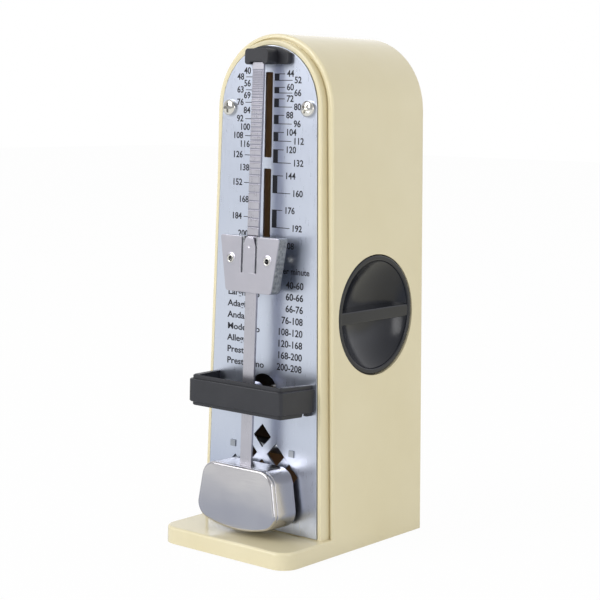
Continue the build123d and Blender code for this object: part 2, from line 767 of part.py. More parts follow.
def winding_knob():
    knob = rod_along_x(knob_radius, knob_back_x, knob_face_x)
    rim = knob.faces().sort_by(Axis.X)[-1].edges()
    knob = fillet(rim, knob_ring / 4)
    dish = rod_along_x(knob_radius - knob_ring, knob_face_x - knob_dish, knob_face_x + 1)
    dish = fillet(dish.faces().sort_by(Axis.X)[0].edges(), knob_dish / 2)
    half = knob_bar / 2
    reach = knob_radius - knob_ring / 2
    bar = block((knob_face_x - knob_dish - slip, knob_face_x), (-reach, reach), (-half, half))
    bar = fillet(bar.edges().filter_by(Axis.Y).sort_by(Axis.X)[-2:], knob_bar / 5)
    knob = knob - dish + bar
    knob = knob + rod_along_x(knob_hub_radius, ratchet_x + ratchet_thick + gap, knob_back_x + slip)
    half = square / 2 + slip
    socket = block((0, knob_back_x + knob_socket), (-half, half), (-half, half))
    socket = Rot(-dial_lean, 0, 0) * socket
    return Pos(0, knob_centre.Y, knob_centre.Z) * (knob - socket)


def second_pinion():
    arbor = rod_along_x(train_pivot_radius, -plate_outer_x, plate_outer_x)
    arbor = arbor + rod_along_x(train_arbor_radius, gap - plate_inner_x, plate_inner_x - gap)
    towards = mesh_angle((second_y, second_z), (winder_y, winder_z)) + 180 / second_leaves
    ends = (great_x - leaf_margin, great_x + great_thick + leaf_margin)
    leaves = gear(second_leaves, great_module, *ends, (0, 0), towards)
    return movement_frame * Pos(0, second_y, second_z) * (arbor + leaves)


def second_wheel():
    towards = mesh_angle((second_y, second_z), (escape_y, pivot_z))
    wheel = gear(second_teeth, second_module, second_x, second_x + second_thick, (0, 0), towards)
    wheel = wheel - rod_along_x(train_arbor_radius + slip, 0, 2 * second_x)
    pitch_radius = second_module * second_teeth / 2
    for turn in range(4):
        hole = polar(pitch_radius * second_hole_place, radians(45 + 90 * turn))
        wheel = wheel - rod_along_x(pitch_radius * second_hole_size, 0, 2 * second_x, *hole)
    return movement_frame * Pos(0, second_y, second_z) * wheel


def escape_pinion():
    arbor = rod_along_x(train_arbor_radius, crown_disc_x - gap, plate_inner_x - gap)
    arbor = arbor + rod_along_x(train_pivot_radius, plate_inner_x - 2 * gap, plate_outer_x)
    towards = mesh_angle((escape_y, pivot_z), (second_y, second_z)) + 180 / escape_leaves
    ends = (second_x - leaf_margin, second_x + second_thick + leaf_margin)
    leaves = gear(escape_leaves, second_module, *ends, (0, 0), towards)
    return movement_frame * Pos(0, escape_y, pivot_z) * (arbor + leaves)


def escape_wheel():
    # Crown wheel: its teeth point at the pendulum arbor.
    wheel = rod_along_x(crown_radius, crown_tip_x, crown_disc_x + crown_disc)
    wheel = wheel - rod_along_x(crown_radius - crown_wall, 0, crown_disc_x)
    wheel = wheel - rod_along_x(train_arbor_radius + slip, 0, 2 * crown_disc_x)
    pitch = 2 * pi * crown_radius / crown_teeth
    land = crown_land * pitch
    slope = crown_slope * pitch
    root_x = crown_tip_x + crown_tooth
    outline = Polyline((crown_tip_x - 1, land), (crown_tip_x, land), (root_x, slope), (root_x, pitch),
                       (crown_tip_x - 1, pitch), close=True)
    cutter = extrude(make_face(outline), 2 * crown_wall, both=True)
    for tooth in range(crown_teeth):
        turn = crown_phase + 360 * tooth / crown_teeth
        wheel = wheel - Rot(turn, 0, 0) * Pos(0, 0, crown_radius) * cutter
    return movement_frame * Pos(0, escape_y, pivot_z) * wheel


def pendulum_arbor():
    front_inner = bridge_band_proud + bridge_wall - bridge_reach
    shoulder = front_inner + bridge_bush_length + gap
    rear_shoulder = rear_bracket_y - gap
    staff = rod_along_y(staff_radius, shoulder, rear_shoulder, 0, pivot_z)
    staff = staff + rod_along_y(staff_pivot_radius, front_inner + gap, shoulder, 0, pivot_z)
    staff = staff + rod_along_y(staff_pivot_radius, rear_shoulder, staff_rear, 0, pivot_z)
    return movement_frame * staff


def pallets():
    places = []
    middle = crown_radius - crown_wall / 2
    for side in (-1, 1):
        y = escape_y + side * middle
        half = pallet_width / 2
        sleeve = rod_along_y(staff_radius + pallet_sleeve, y - half, y + half)
        flag = block((0, pallet_reach), (y - half, y + half), (-pallet_thick / 2, pallet_thick / 2))
        flag = Rot(0, side * pallet_angle, 0) * flag
        pallet = sleeve + flag - rod_along_y(staff_radius + slip, y - 2 * half, y + 2 * half)
        places.append(Pos(0, 0, pivot_z) * pallet)
    return movement_frame * (Part() + places)


def staff_cut():
    return movement_frame * rod_along_y(staff_radius + slip, -bridge_reach, 0, 0, pivot_z)


def pendulum_rod():
    half = rod_width / 2
    strip = block((-half, half), (-rod_thick / 2, rod_thick / 2), (rod_bottom, rod_top))
    strip = fillet(strip.edges().filter_by(Axis.Y), half / 4)
    side = notch_depth * sqrt(2)
    notch = Rot(45, 0, 0) * Box(2 * rod_width, side, side)
    strip = strip - [Pos(0, -rod_thick / 2, tempo_height(tempo)) * notch for tempo in tempo_list()]
    return rod_frame * strip - staff_cut()


def pendulum_hub():
    hub = rod_along_y(hub_radius, rod_thick / 2, rod_thick / 2 + hub_length, 0, pivot_z)
    return rod_frame * hub - staff_cut()


def bob_face():
    low_z = pivot_z - sqrt(bob_swing_radius ** 2 - bob_low_half ** 2)
    outline = Polyline((-bob_low_half, low_z), (-bob_top_half, bob_top),
                       (bob_top_half, bob_top), (bob_low_half, low_z))
    outline += ThreePointArc((bob_low_half, low_z), (0, pivot_z - bob_swing_radius), (-bob_low_half, low_z))
    face = make_face(outline)
    corners = face.vertices().sort_by(Axis.Y)
    face = fillet(corners[-2:], bob_top_corner)
    low_corners = [v for v in face.vertices() if v.Y < low_z + bob_edge and abs(v.X) > bob_top_half]
    return Plane.XZ * fillet(low_corners, bob_low_corner)


def bob_cover():
    cover = slab(bob_face(), -bob_front, bob_cover_thick - bob_front)
    return rod_frame * fillet(cover.faces().sort_by(Axis.Y)[0].edges(), bob_edge)


def bob_body():
    body = slab(bob_face(), bob_cover_thick - bob_front, bob_rear)
    body = fillet(body.faces().sort_by(Axis.Y)[-1].edges(), bob_edge)
    half = rod_width / 2 + slip
    deep = rod_thick / 2 + slip
    return rod_frame * (body - block((-half, half), (-deep, deep), (rod_bottom - slip, height)))


weight_top = tempo_height(rest_tempo)
weight_bottom = weight_top - weight_height


def weight_face():
    outline = Polyline((-weight_low_half, weight_bottom), (-weight_top_half, weight_top),
                       (weight_top_half, weight_top), (weight_low_half, weight_bottom), close=True)
    face = make_face(outline)
    return fillet(face.vertices().sort_by(Axis.Y)[:2], weight_corner)


def rivet_places():
    return [(side * rivet_x, weight_top - rivet_drop) for side in (-1, 1)]


def weight_body():
    body = slab(Plane.XZ * weight_face(), weight_plate - weight_front, weight_rear)
    half = rod_width / 2 + weight_slack
    rear = rod_thick / 2 + weight_slack
    body = body - block((-half, half), (-weight_front, rear), (weight_bottom - 1, weight_top + 1))
    bore = rivet_radius - rivet_head + slip
    body = body - [rod_along_y(bore, -weight_front, weight_rear, x, z) for x, z in rivet_places()]
    return rod_frame * body


def tongue_cuts():
    # Two slots free the tongue and lean together at its tip.
    cuts = []
    low = weight_top - tongue_length
    bend = weight_top - tongue_taper
    for side in (-1, 1):
        inner = side * tongue_half_width
        outer = side * (tongue_half_width + tongue_slot)
        outline = Polyline((inner, low), (outer, low), (outer, weight_top + 1),
                           (side * tongue_tip_half, weight_top + 1), (side * tongue_tip_half, weight_top),
                           (inner, bend), close=True)
        cuts.append(Plane.XZ * make_face(outline))
    return cuts


def weight_spring():
    # Front plate whose middle tongue presses on the rod's notches.
    plate = slab(Plane.XZ * weight_face(), -weight_front, weight_plate - weight_front)
    plate = plate - [slab(cut, -2 * weight_front, 0) for cut in tongue_cuts()]
    bore = rivet_radius - rivet_head + slip
    plate = plate - [rod_along_y(bore, -2 * weight_front, 0, x, z) for x, z in rivet_places()]
    bead_front = weight_plate - weight_front
    bead_rear = -rod_thick / 2 - slip
    bead = rod_along_y(tongue_tip_half, bead_front - slip, bead_rear, 0, weight_top - tongue_taper)
    return rod_frame * (plate + bead)


def weight_rivets():
    rivets = []
    shank = rivet_radius - rivet_head
    for x, z in rivet_places():
        rivet = rod_along_y(shank, -weight_front, weight_rear, x, z)
        rivet = rivet + rod_along_y(rivet_radius, -weight_front - rivet_head, -weight_front, x, z)
        rivet = rivet - rod_along_y(rivet_bore, -2 * weight_front, 2 * weight_rear, x, z)
        rivets.append(rivet)
    return rod_frame * (Part() + rivets)


nodes = {
    "housing": housing(),
    "rubber_feet": rubber_feet(),
    "dial_plate": dial_plate(),
    "dial_screws": dial_screws(),
    "rod_clip": rod_clip(),
    "pendulum_bridge": pendulum_bridge(),
    "bridge_screws": bridge_screws(),
    "left_movement_plate": movement_plate(-1),
    "right_movement_plate": movement_plate(1),
    "pillars": pillars(),
    "movement_screws": movement_screws(),
    "rear_bracket": rear_bracket(),
    "escape_bracket": escape_bracket(),
    "click_spring": click_spring(),
    "winding_knob": winding_knob(),
    "winding_arbor": winding_arbor(),
    "ratchet_wheel": ratchet_wheel(),
    "barrel_drum": barrel_drum(),
    "barrel_cover": barrel_cover(),
    "mainspring": mainspring(),
    "second_pinion": second_pinion(),
    "second_wheel": second_wheel(),
    "escape_pinion": escape_pinion(),
    "escape_wheel": escape_wheel(),
    "pendulum_arbor": pendulum_arbor(),
    "pallets": pallets(),
    "pendulum_rod": pendulum_rod(),
    "pendulum_hub": pendulum_hub(),
    "bob_body": bob_body(),
    "bob_cover": bob_cover(),
    "weight_body": weight_body(),
    "weight_spring": weight_spring(),
    "weight_rivets": weight_rivets(),
}
for name, shape in nodes.items():
    export_step(shape, f"parts/{name}.step")
    print(name, len(shape.solids()), round(shape.volume, 1))
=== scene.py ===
import bpy
import bmesh
import json
from math import atan2, copysign, cos, pi, radians, sin, sqrt, tan
from mathutils import Matrix, Vector


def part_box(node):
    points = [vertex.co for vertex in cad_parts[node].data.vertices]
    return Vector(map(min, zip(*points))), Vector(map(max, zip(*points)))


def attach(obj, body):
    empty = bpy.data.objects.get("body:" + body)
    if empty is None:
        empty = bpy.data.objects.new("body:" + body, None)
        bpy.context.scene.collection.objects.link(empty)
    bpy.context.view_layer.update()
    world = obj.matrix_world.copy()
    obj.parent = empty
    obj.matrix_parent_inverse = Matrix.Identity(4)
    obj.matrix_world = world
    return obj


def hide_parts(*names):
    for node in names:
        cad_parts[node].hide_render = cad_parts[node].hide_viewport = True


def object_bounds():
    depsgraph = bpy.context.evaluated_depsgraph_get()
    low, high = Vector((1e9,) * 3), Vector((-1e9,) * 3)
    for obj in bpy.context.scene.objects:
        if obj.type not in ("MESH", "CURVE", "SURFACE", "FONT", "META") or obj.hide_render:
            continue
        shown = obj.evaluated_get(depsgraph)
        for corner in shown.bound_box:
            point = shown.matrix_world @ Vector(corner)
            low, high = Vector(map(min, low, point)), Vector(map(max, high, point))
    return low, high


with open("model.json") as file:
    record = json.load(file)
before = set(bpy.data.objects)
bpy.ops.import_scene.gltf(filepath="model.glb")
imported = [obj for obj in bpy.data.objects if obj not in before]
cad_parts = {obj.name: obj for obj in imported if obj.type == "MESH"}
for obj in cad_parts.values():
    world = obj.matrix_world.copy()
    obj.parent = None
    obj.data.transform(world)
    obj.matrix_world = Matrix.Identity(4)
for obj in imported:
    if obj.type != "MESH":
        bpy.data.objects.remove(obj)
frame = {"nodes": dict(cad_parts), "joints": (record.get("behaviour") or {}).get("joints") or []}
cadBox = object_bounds()
mm = 0.001  # every size below is in millimetres
print("frame loaded")

# where the leaning parts stand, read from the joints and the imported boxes
joints = {joint["name"]: joint for joint in frame["joints"]}
pivot = Vector(joints["pendulum_swing"]["pos_m"]) / mm
dialNormal = Vector(joints["pendulum_swing"]["axis"])
rodUp = Vector(joints["weight_slide"]["axis"])
rodSize = {"width": 4.5, "thick": 0.9, "bottom": 14.5, "top": 151.15, "topRound": 0.55, "soft": 0.1,
           "notchDeep": 0.3, "notchHalf": 0.4, "notches": 39}


def leaning(up, stand):
    # a frame whose Z is the height along a leaning part; stand is how far it is in front of the dial
    across = Vector((1, 0, 0))
    back = up.cross(across)
    turn = Matrix((across, back, up)).transposed().to_4x4()
    middle = pivot - dialNormal * stand
    return Matrix.Translation(middle) @ turn @ Matrix.Translation((0, 0, -pivot.z))


dialUp = Vector((1, 0, 0)).cross(dialNormal)
rodBack = rodUp.cross(Vector((1, 0, 0)))
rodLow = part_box("pendulum_rod")[0] / mm
rodRise = pivot.z - rodSize["bottom"]
rodStand = (pivot.y - rodLow.y - rodBack.y * rodSize["thick"] / 2 - rodUp.y * rodRise) / dialNormal.y
caseFrame = Matrix.Identity(4)
metreFrame = Matrix.Scale(1 / mm, 4)  # for meshes that are in metres already
dialFrame = leaning(dialUp, 0)
rodFrame = leaning(rodUp, rodStand)
print("rod stands", round(rodStand, 2), "mm in front of the dial")


# small tools: nodes, meshes, outlines
def linear(code):
    # an sRGB hex colour as the linear one that Blender computes with
    channels = [int(code[i:i + 2], 16) / 255 for i in (1, 3, 5)]
    return [c / 12.92 if c <= 0.04045 else ((c + 0.055) / 1.055) ** 2.4 for c in channels] + [1.0]


def addNode(tree, kind, inputs=None, **settings):
    made = tree.nodes.new(kind)
    for name, value in settings.items():
        setattr(made, name, value)
    for socket, value in (inputs or {}).items():
        if isinstance(value, bpy.types.NodeSocket):
            tree.links.new(value, made.inputs[socket])
        else:
            made.inputs[socket].default_value = value
    return made


def calc(tree, operation, *values):
    return addNode(tree, "ShaderNodeMath", dict(enumerate(values)), operation=operation).outputs["Value"]


def addObject(name, data):
    made = bpy.data.objects.new(name, data)
    bpy.context.scene.collection.objects.link(made)
    return made


def evaluatedMesh(holder):
    return bpy.data.meshes.new_from_object(holder.evaluated_get(bpy.context.evaluated_depsgraph_get()))


def takeMesh(bm, mesh):
    bm.from_mesh(mesh)
    bpy.data.meshes.remove(mesh)


def bmeshToPiece(name, bm, place, material, smooth=35):
    bmesh.ops.remove_doubles(bm, verts=bm.verts, dist=0.0005)
    bmesh.ops.recalc_face_normals(bm, faces=bm.faces)
    bm.transform(Matrix.Scale(mm, 4) @ place)
    mesh = bpy.data.meshes.new(name)
    bm.to_mesh(mesh)
    bm.free()
    mesh.materials.append(material)
    mesh.polygons.foreach_set("use_smooth", [True] * len(mesh.polygons))
    mesh.set_sharp_from_angle(angle=radians(smooth))
    return addObject(name, mesh)


def settle(piece, body, slot, *nodes):
    # weights the shading towards the big faces, then rides and stands in for its CAD nodes
    shade = piece.modifiers.new("evenShading", "WEIGHTED_NORMAL")
    shade.keep_sharp = True
    bakeModifiers(piece)
    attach(piece, body)
    if nodes:
        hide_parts(*nodes)
    return piece


def bakeModifiers(piece):
    mesh = evaluatedMesh(piece)
    mesh.name = piece.name
    piece.modifiers.clear()
    piece.data = mesh


def filletCorners(corners, step=0.35, count=0):
    # corners are (x, z, radius); each round corner becomes an arc
    points = []
    for index, (x, z, radius) in enumerate(corners):
        here = Vector((x, z))
        if not radius:
            points.append(here)
            continue
        before = (Vector(corners[index - 1][:2]) - here).normalized()
        after = (Vector(corners[(index + 1) % len(corners)][:2]) - here).normalized()
        half = before.angle(after) / 2
        centre = here + (before + after).normalized() * radius / sin(half)
        spoke = here + before * radius / tan(half) - centre
        last = here + after * radius / tan(half) - centre
        sweep = atan2(spoke.x * last.y - spoke.y * last.x, spoke.dot(last))
        steps = count or max(4, int(abs(sweep) * radius / step))
        for k in range(steps + 1):
            points.append(centre + Matrix.Rotation(sweep * k / steps, 2) @ spoke)
    return points


def arcPoints(centre, radius, start, end, steps):
    turns = [radians(start + (end - start) * k / steps) for k in range(steps + 1)]
    return [Vector((centre[0] + radius * cos(a), centre[1] + radius * sin(a))) for a in turns]


def inset(points, distance):
    # moves a closed outline inwards, its corners along their mitres
    area = sum(a.x * b.y - b.x * a.y for a, b in zip(points, points[1:] + points[:1]))
    side = 1 if area > 0 else -1
    moved = []
    for index, here in enumerate(points):
        first = (here - points[index - 1]).normalized()
        second = (points[(index + 1) % len(points)] - here).normalized()
        normals = [Vector((-d.y, d.x)) * side for d in (first, second)]
        mitre = (normals[0] + normals[1]) / max(0.3, 1 + normals[0].dot(normals[1]))
        moved.append(here + mitre * distance)
    return moved


def roundEdge(radius, depth, rearwards, steps):
    # (inset, depth) pairs round a quarter circle, from a face into its wall
    turns = [pi / 2 * k / steps for k in range(steps + 1)]
    return [(radius * (1 - sin(a)), depth + rearwards * radius * (1 - cos(a))) for a in turns]


def joinRings(bm, near, far):
    for k in range(len(near)):
        n = (k + 1) % len(near)
        bm.faces.new((near[k], near[n], far[n], far[k]))


def stackOutline(bm, outline, layers, capFront=True):
    # a solid made of the outline's rings, each with its own inset and depth
    rings = []
    for distance, depth in layers:
        ring = inset(outline, distance) if distance else outline
        rings.append([bm.verts.new((p.x, depth, p.y)) for p in ring])
    for near, far in zip(rings, rings[1:]):
        joinRings(bm, near, far)
    if capFront:
        bm.faces.new(rings[0])
    bm.faces.new(rings[-1])
    return rings


def facingFront(x=0, y=0, z=0):
    # stands up what was drawn flat, or turned about Z, so that its Z points to the front
    return Matrix.Translation((x, y, z)) @ Matrix.Rotation(pi / 2, 4, "X")


def lathe(bm, profile, segments, place):
    # profile is (radius, height) pairs, turned about Z; radius 0 closes an end
    turns = [2 * pi * k / segments for k in range(segments)]
    rings = []
    for radius, height in profile:
        if radius == 0:
            rings.append([bm.verts.new(place @ Vector((0, 0, height)))])
            continue
        rings.append([bm.verts.new(place @ Vector((radius * cos(a), radius * sin(a), height)))
                      for a in turns])
    for near, far in zip(rings, rings[1:]):
        for k in range(segments):
            n = (k + 1) % segments
            corners = [near[k % len(near)], near[n % len(near)], far[n % len(far)], far[k % len(far)]]
            unique = list(dict.fromkeys(corners))
            if len(unique) > 2:
                bm.faces.new(unique)


def platePiece(name, outlines, yFront, thick, edge, place, material):
    # a flat sheet with holes: a filled curve with softened edges, made a mesh and then placed
    curve = bpy.data.curves.new(name, "CURVE")
    curve.dimensions = "2D"
    curve.fill_mode = "BOTH"
    curve.extrude = thick / 2 - edge
    curve.bevel_depth = edge
    curve.bevel_resolution = 2
    curve.offset = -edge
    for outline in outlines:
        spline = curve.splines.new("POLY")
        spline.points.add(len(outline) - 1)
        spline.points.foreach_set("co", [c for p in outline for c in (p.x, p.y, 0, 1)])
        spline.use_cyclic_u = True
    bm = bmesh.new()
    takeMesh(bm, curveMesh(name, curve))
    return bmeshToPiece(name, bm, place @ facingFront(y=yFront + thick / 2), material)


def curveMesh(name, curve):
    holder = addObject(name + "Curve", curve)
    mesh = evaluatedMesh(holder)
    bpy.data.objects.remove(holder)
    bpy.data.curves.remove(curve)
    return mesh


def rectangle(left, right, low, high, corner=0.0):
    return filletCorners([(left, low, corner), (right, low, corner), (right, high, corner),
                          (left, high, corner)], 0.12)


def archOutline(size, grow=0.0, steps=72):
    # leaning sides and a round top, from the lower left corner round to the lower right
    lean = radians(size["taper"])
    middle = (size["top"] - size["halfBase"] * cos(lean) - size["foot"] * sin(lean)) / (1 - sin(lean))
    radius = size["top"] - middle + grow
    low = size["foot"] - grow
    half = size["halfBase"] + grow / cos(lean) + grow * tan(lean)
    top = arcPoints((0, middle), radius, size["taper"], 180 - size["taper"], steps)
    return [Vector((-half, low)), Vector((half, low))] + top


# materials
def newMaterial(name, **shaderInputs):
    # an empty material with a Principled shader, its object coordinates and its output
    material = bpy.data.materials.new(name)
    material.use_nodes = True
    tree = material.node_tree
    tree.nodes.clear()
    shader = addNode(tree, "ShaderNodeBsdfPrincipled", shaderInputs)
    addNode(tree, "ShaderNodeOutputMaterial", {"Surface": shader.outputs["BSDF"]})
    place = addNode(tree, "ShaderNodeTexCoord").outputs["Object"]
    return material, tree, shader, place


def noise(tree, place, size, detail):
    # features of about the given size in millimetres
    made = addNode(tree, "ShaderNodeTexNoise", {"Vector": place, "Scale": 1 / (size * mm), "Detail": detail})
    return made.outputs["Fac"]


def remap(tree, value, fromRange, toRange=(0.0, 1.0)):
    made = addNode(tree, "ShaderNodeMapRange", {"Value": value, "From Min": fromRange[0], "From Max": fromRange[1],
                                                "To Min": toRange[0], "To Max": toRange[1]})
    return made.outputs["Result"]


noiseRange = (0.3, 0.7)  # where nearly all of a noise's values lie


def variedColour(tree, shader, place, colours, size):
    # blends two close tones in patches of the given size
    patches = noise(tree, place, size, 3.0)
    mixed = addNode(tree, "ShaderNodeMix", {0: remap(tree, patches, noiseRange), 6: linear(colours[0]),
                                            7: linear(colours[1])}, data_type="RGBA")
    tree.links.new(mixed.outputs[2], shader.inputs["Base Color"])
    return patches


def variedRoughness(tree, shader, pattern, low, high):
    tree.links.new(remap(tree, pattern, noiseRange, (low, high)), shader.inputs["Roughness"])


def addBump(tree, shader, height, depth):
    bump = addNode(tree, "ShaderNodeBump", {"Height": height, "Distance": depth * mm})
    tree.links.new(bump.outputs["Normal"], shader.inputs["Normal"])


def stretched(tree, place, scale):
    return addNode(tree, "ShaderNodeMapping", {"Vector": place, "Scale": scale}).outputs["Vector"]


def creamPolystyrene():
    # moulded high-impact polystyrene: cream, soft gloss, the slight waviness of a thick moulded wall
    material, tree, shader, place = newMaterial("creamPolystyrene", IOR=1.55)
    variedColour(tree, shader, place, ("#E4D9B4", "#E9DFBD"), 34)
    wave = noise(tree, place, 9, 1.0)
    grain = noise(tree, place, 0.5, 2.0)
    variedRoughness(tree, shader, grain, 0.14, 0.2)
    addBump(tree, shader, calc(tree, "MULTIPLY_ADD", grain, 0.03, wave), 0.02)
    # painted glow: a dim brown emission on the inner faces behind the dial
    warmInside(tree, shader, place)
    return material


def warmInside(tree, shader, place):
    # painted glow: the inner faces, behind the dial, emit a dim brown that stands in for daylight soaking through
    # the thin side walls
    normal = addNode(tree, "ShaderNodeNewGeometry").outputs["Normal"]
    facing = addNode(tree, "ShaderNodeVectorMath", {0: normal, 1: place}, operation="MULTIPLY")
    sideways = addNode(tree, "ShaderNodeSeparateXYZ", {0: facing.outputs["Vector"]}).outputs["X"]
    depth = addNode(tree, "ShaderNodeVectorMath", {0: place, 1: dialNormal}, operation="DOT_PRODUCT")
    inward = calc(tree, "LESS_THAN", sideways, -5 * mm)
    behind = calc(tree, "GREATER_THAN", depth.outputs["Value"], (pivot.dot(dialNormal) + 2) * mm)
    tree.links.new(calc(tree, "MULTIPLY", inward, behind), shader.inputs["Emission Strength"])
    # colour of the painted glow
    shader.inputs["Emission Color"].default_value = linear("#21160F")


def satinAluminium():
    # dial sheet: satin anodised aluminium, cool silver, fine rolling lines along its height
    material, tree, shader, place = newMaterial("satinAluminium", Metallic=1.0)
    variedColour(tree, shader, place, ("#CBD2E2", "#D3D9E7"), 40)
    lines = noise(tree, stretched(tree, place, (1, 1, 0.04)), 0.25, 3.0)
    variedRoughness(tree, shader, lines, 0.27, 0.35)
    addBump(tree, shader, lines, 0.003)
    return material


def screenInk():
    # screen-printed scale: dense blue-black ink with a matt skin
    material, tree, shader, place = newMaterial("screenInk", IOR=1.48)
    pattern = variedColour(tree, shader, place, ("#131420", "#1A1B28"), 1.5)
    variedRoughness(tree, shader, pattern, 0.5, 0.62)
    return material


def blackAbs():
    # bridge and clip: black ABS with a fine spark-eroded mould texture, greyish where it catches the light
    material, tree, shader, place = newMaterial("blackAbs", IOR=1.54)
    variedColour(tree, shader, place, ("#1F2027", "#25262D"), 6)
    grain = noise(tree, place, 0.28, 2.0)
    variedRoughness(tree, shader, grain, 0.4, 0.52)
    addBump(tree, shader, grain, 0.012)
    return material


def knobAbs():
    # winding knob: black ABS from a polished mould, glossier, with faint handling marks
    material, tree, shader, place = newMaterial("knobAbs", IOR=1.47)
    variedColour(tree, shader, place, ("#12151F", "#181B25"), 9)
    marks = noise(tree, place, 1.4, 4.0)
    variedRoughness(tree, shader, marks, 0.16, 0.24)
    addBump(tree, shader, marks, 0.002)
    return material


def platedMetal(name, colours, brush, grainSize, low, high, depth):
    # shared by the plated sheet and turned pieces: a metal with fine brushing in one direction
    material, tree, shader, place = newMaterial(name, Metallic=1.0)
    variedColour(tree, shader, place, colours, 11)
    lines = noise(tree, stretched(tree, place, brush), grainSize, 3.0)
    variedRoughness(tree, shader, lines, low, high)
    addBump(tree, shader, lines, depth)
    return material


def roughZinc():
    # weight body: rough die-cast zinc, dull grey with lighter pits and crests
    material, tree, shader, place = newMaterial("roughZinc", Metallic=1.0)
    variedColour(tree, shader, place, ("#83868C", "#B9BCBF"), 0.9)
    pits = addNode(tree, "ShaderNodeTexVoronoi", {"Vector": place, "Scale": 1 / (0.7 * mm)})
    grain = noise(tree, place, 0.45, 4.0)
    variedRoughness(tree, shader, grain, 0.4, 0.62)
    addBump(tree, shader, calc(tree, "MULTIPLY_ADD", pits.outputs["Distance"], 0.5, grain), 0.16)
    return material


def footRubber():
    # moulded rubber feet: near black, matt, slightly dusty
    material, tree, shader, place = newMaterial("footRubber", IOR=1.52)
    pattern = variedColour(tree, shader, place, ("#232323", "#2E2E2D"), 1.2)
    variedRoughness(tree, shader, pattern, 0.75, 0.9)
    addBump(tree, shader, pattern, 0.03)
    return material


cream = creamPolystyrene()
dialSheet = satinAluminium()
ink = screenInk()
blackPlastic = blackAbs()
knobPlastic = knobAbs()
zinc = roughZinc()
rubber = footRubber()
rodNickel = platedMetal("nickelledStrip", ("#B9B8C0", "#C2C0C9"), (1, 1, 0.05), 0.3, 0.26, 0.36, 0.004)
sheetNickel = platedMetal("nickelledSheet", ("#BBBAC4", "#C4C2CB"), (0.06, 1, 1), 0.35, 0.28, 0.38, 0.004)
bobNickel = platedMetal("satinNickel", ("#C4C2C6", "#CCCACC"), (0.05, 1, 1), 0.22, 0.17, 0.25, 0.003)
brightNickel = platedMetal("brightNickel", ("#D6D4CE", "#DEDCD8"), (1, 1, 1), 0.8, 0.08, 0.16, 0.003)
plateSteel = platedMetal("zincedSteel", ("#A3A8B0", "#B0B4BA"), (1, 1, 0.08), 0.3, 0.3, 0.42, 0.005)
springSteel = platedMetal("bluedSpringSteel", ("#4B4F5C", "#5A5C66"), (0.1, 1, 1), 0.3, 0.25, 0.38, 0.004)
arborSteel = platedMetal("turnedSteel", ("#A9A9AA", "#B6B6B6"), (0.1, 1, 1), 0.2, 0.22, 0.33, 0.004)
brass = platedMetal("rolledBrass", ("#C9A24E", "#D2AE5E"), (1, 1, 0.1), 0.3, 0.24, 0.36, 0.004)
print("materials made")

finishes = {
    "cream_plastic": cream, "foot_rubber": rubber, "dial_metal": dialSheet, "screw_steel": brightNickel,
    "black_plastic": blackPlastic, "knob_plastic": knobPlastic, "plate_steel": plateSteel,
    "spring_steel": springSteel, "arbor_steel": arborSteel, "wheel_brass": brass, "rod_nickel": rodNickel,
    "bob_nickel": bobNickel, "weight_casting": zinc, "weight_sheet": sheetNickel,
}
for node in frame["nodes"].values():
    for place in node.material_slots:
        place.material = finishes[place.material.name.split(".")[0]]


# camera, light and floor
cameraSize = {"azimuth": 39.67, "elevation": 7.21, "roll": 0.83, "distance": 515.0, "lens": 95.43,
              "aim": (-5.07, 7.63, -4.31)}  # aim is counted from the middle of the box


boxMiddle = (cadBox[0] + cadBox[1]) / 2
roomSize = {"lit": 0.77, "frontMirror": 0.6, "backMirror": 1.4, "white": 0.97, "floor": "#F4F4F2",
            "far": "#FDFEFC", "near": "#C8CED9", "back": "#FBF8E8", "reach": 3000,
            "front": 10.2, "top": 1.6, "side": 1.8}


def addCamera(size):
    aim = boxMiddle + Vector(size["aim"]) * mm
    around, above, roll = radians(size["azimuth"]), radians(size["elevation"]), radians(size["roll"])
    back = Vector((sin(around) * cos(above), -cos(around) * cos(above), sin(above)))
    right = Vector((cos(around), sin(around), 0))
    up = back.cross(right)
    rolledRight = right * cos(roll) + up * sin(roll)
    rolledUp = up * cos(roll) - right * sin(roll)
    turn = Matrix((rolledRight, rolledUp, back)).transposed().to_4x4()
    camera = addObject("camera", bpy.data.cameras.new("camera"))
    camera.data.lens = size["lens"]
    camera.data.clip_start = 0.01
    camera.matrix_world = Matrix.Translation(aim + back * size["distance"] * mm) @ turn
    bpy.context.scene.camera = camera


def addSoftbox(name, place, width, height, power):
    light = bpy.data.lights.new(name, "AREA")
    light.shape = "RECTANGLE"
    light.size = width
    light.size_y = height
    light.energy = power
    box = addObject(name, light)
    box.location = place
    box.rotation_euler = (boxMiddle - Vector(place)).to_track_quat("-Z", "Y").to_euler()


def colourRamp(tree, factor, stops):
    # stops are (position, colour) pairs from low to high
    made = addNode(tree, "ShaderNodeValToRGB", {"Fac": factor})
    elements = made.color_ramp.elements
    for at, colour in stops[1:-1]:
        elements.new(at)
    for element, (at, colour) in zip(elements, stops):
        element.position = at
        element.color = linear(colour)
    return made.outputs["Color"]


def mixShaders(tree, factor, first, second):
    return addNode(tree, "ShaderNodeMixShader", {0: factor, 1: first, 2: second}).outputs[0]


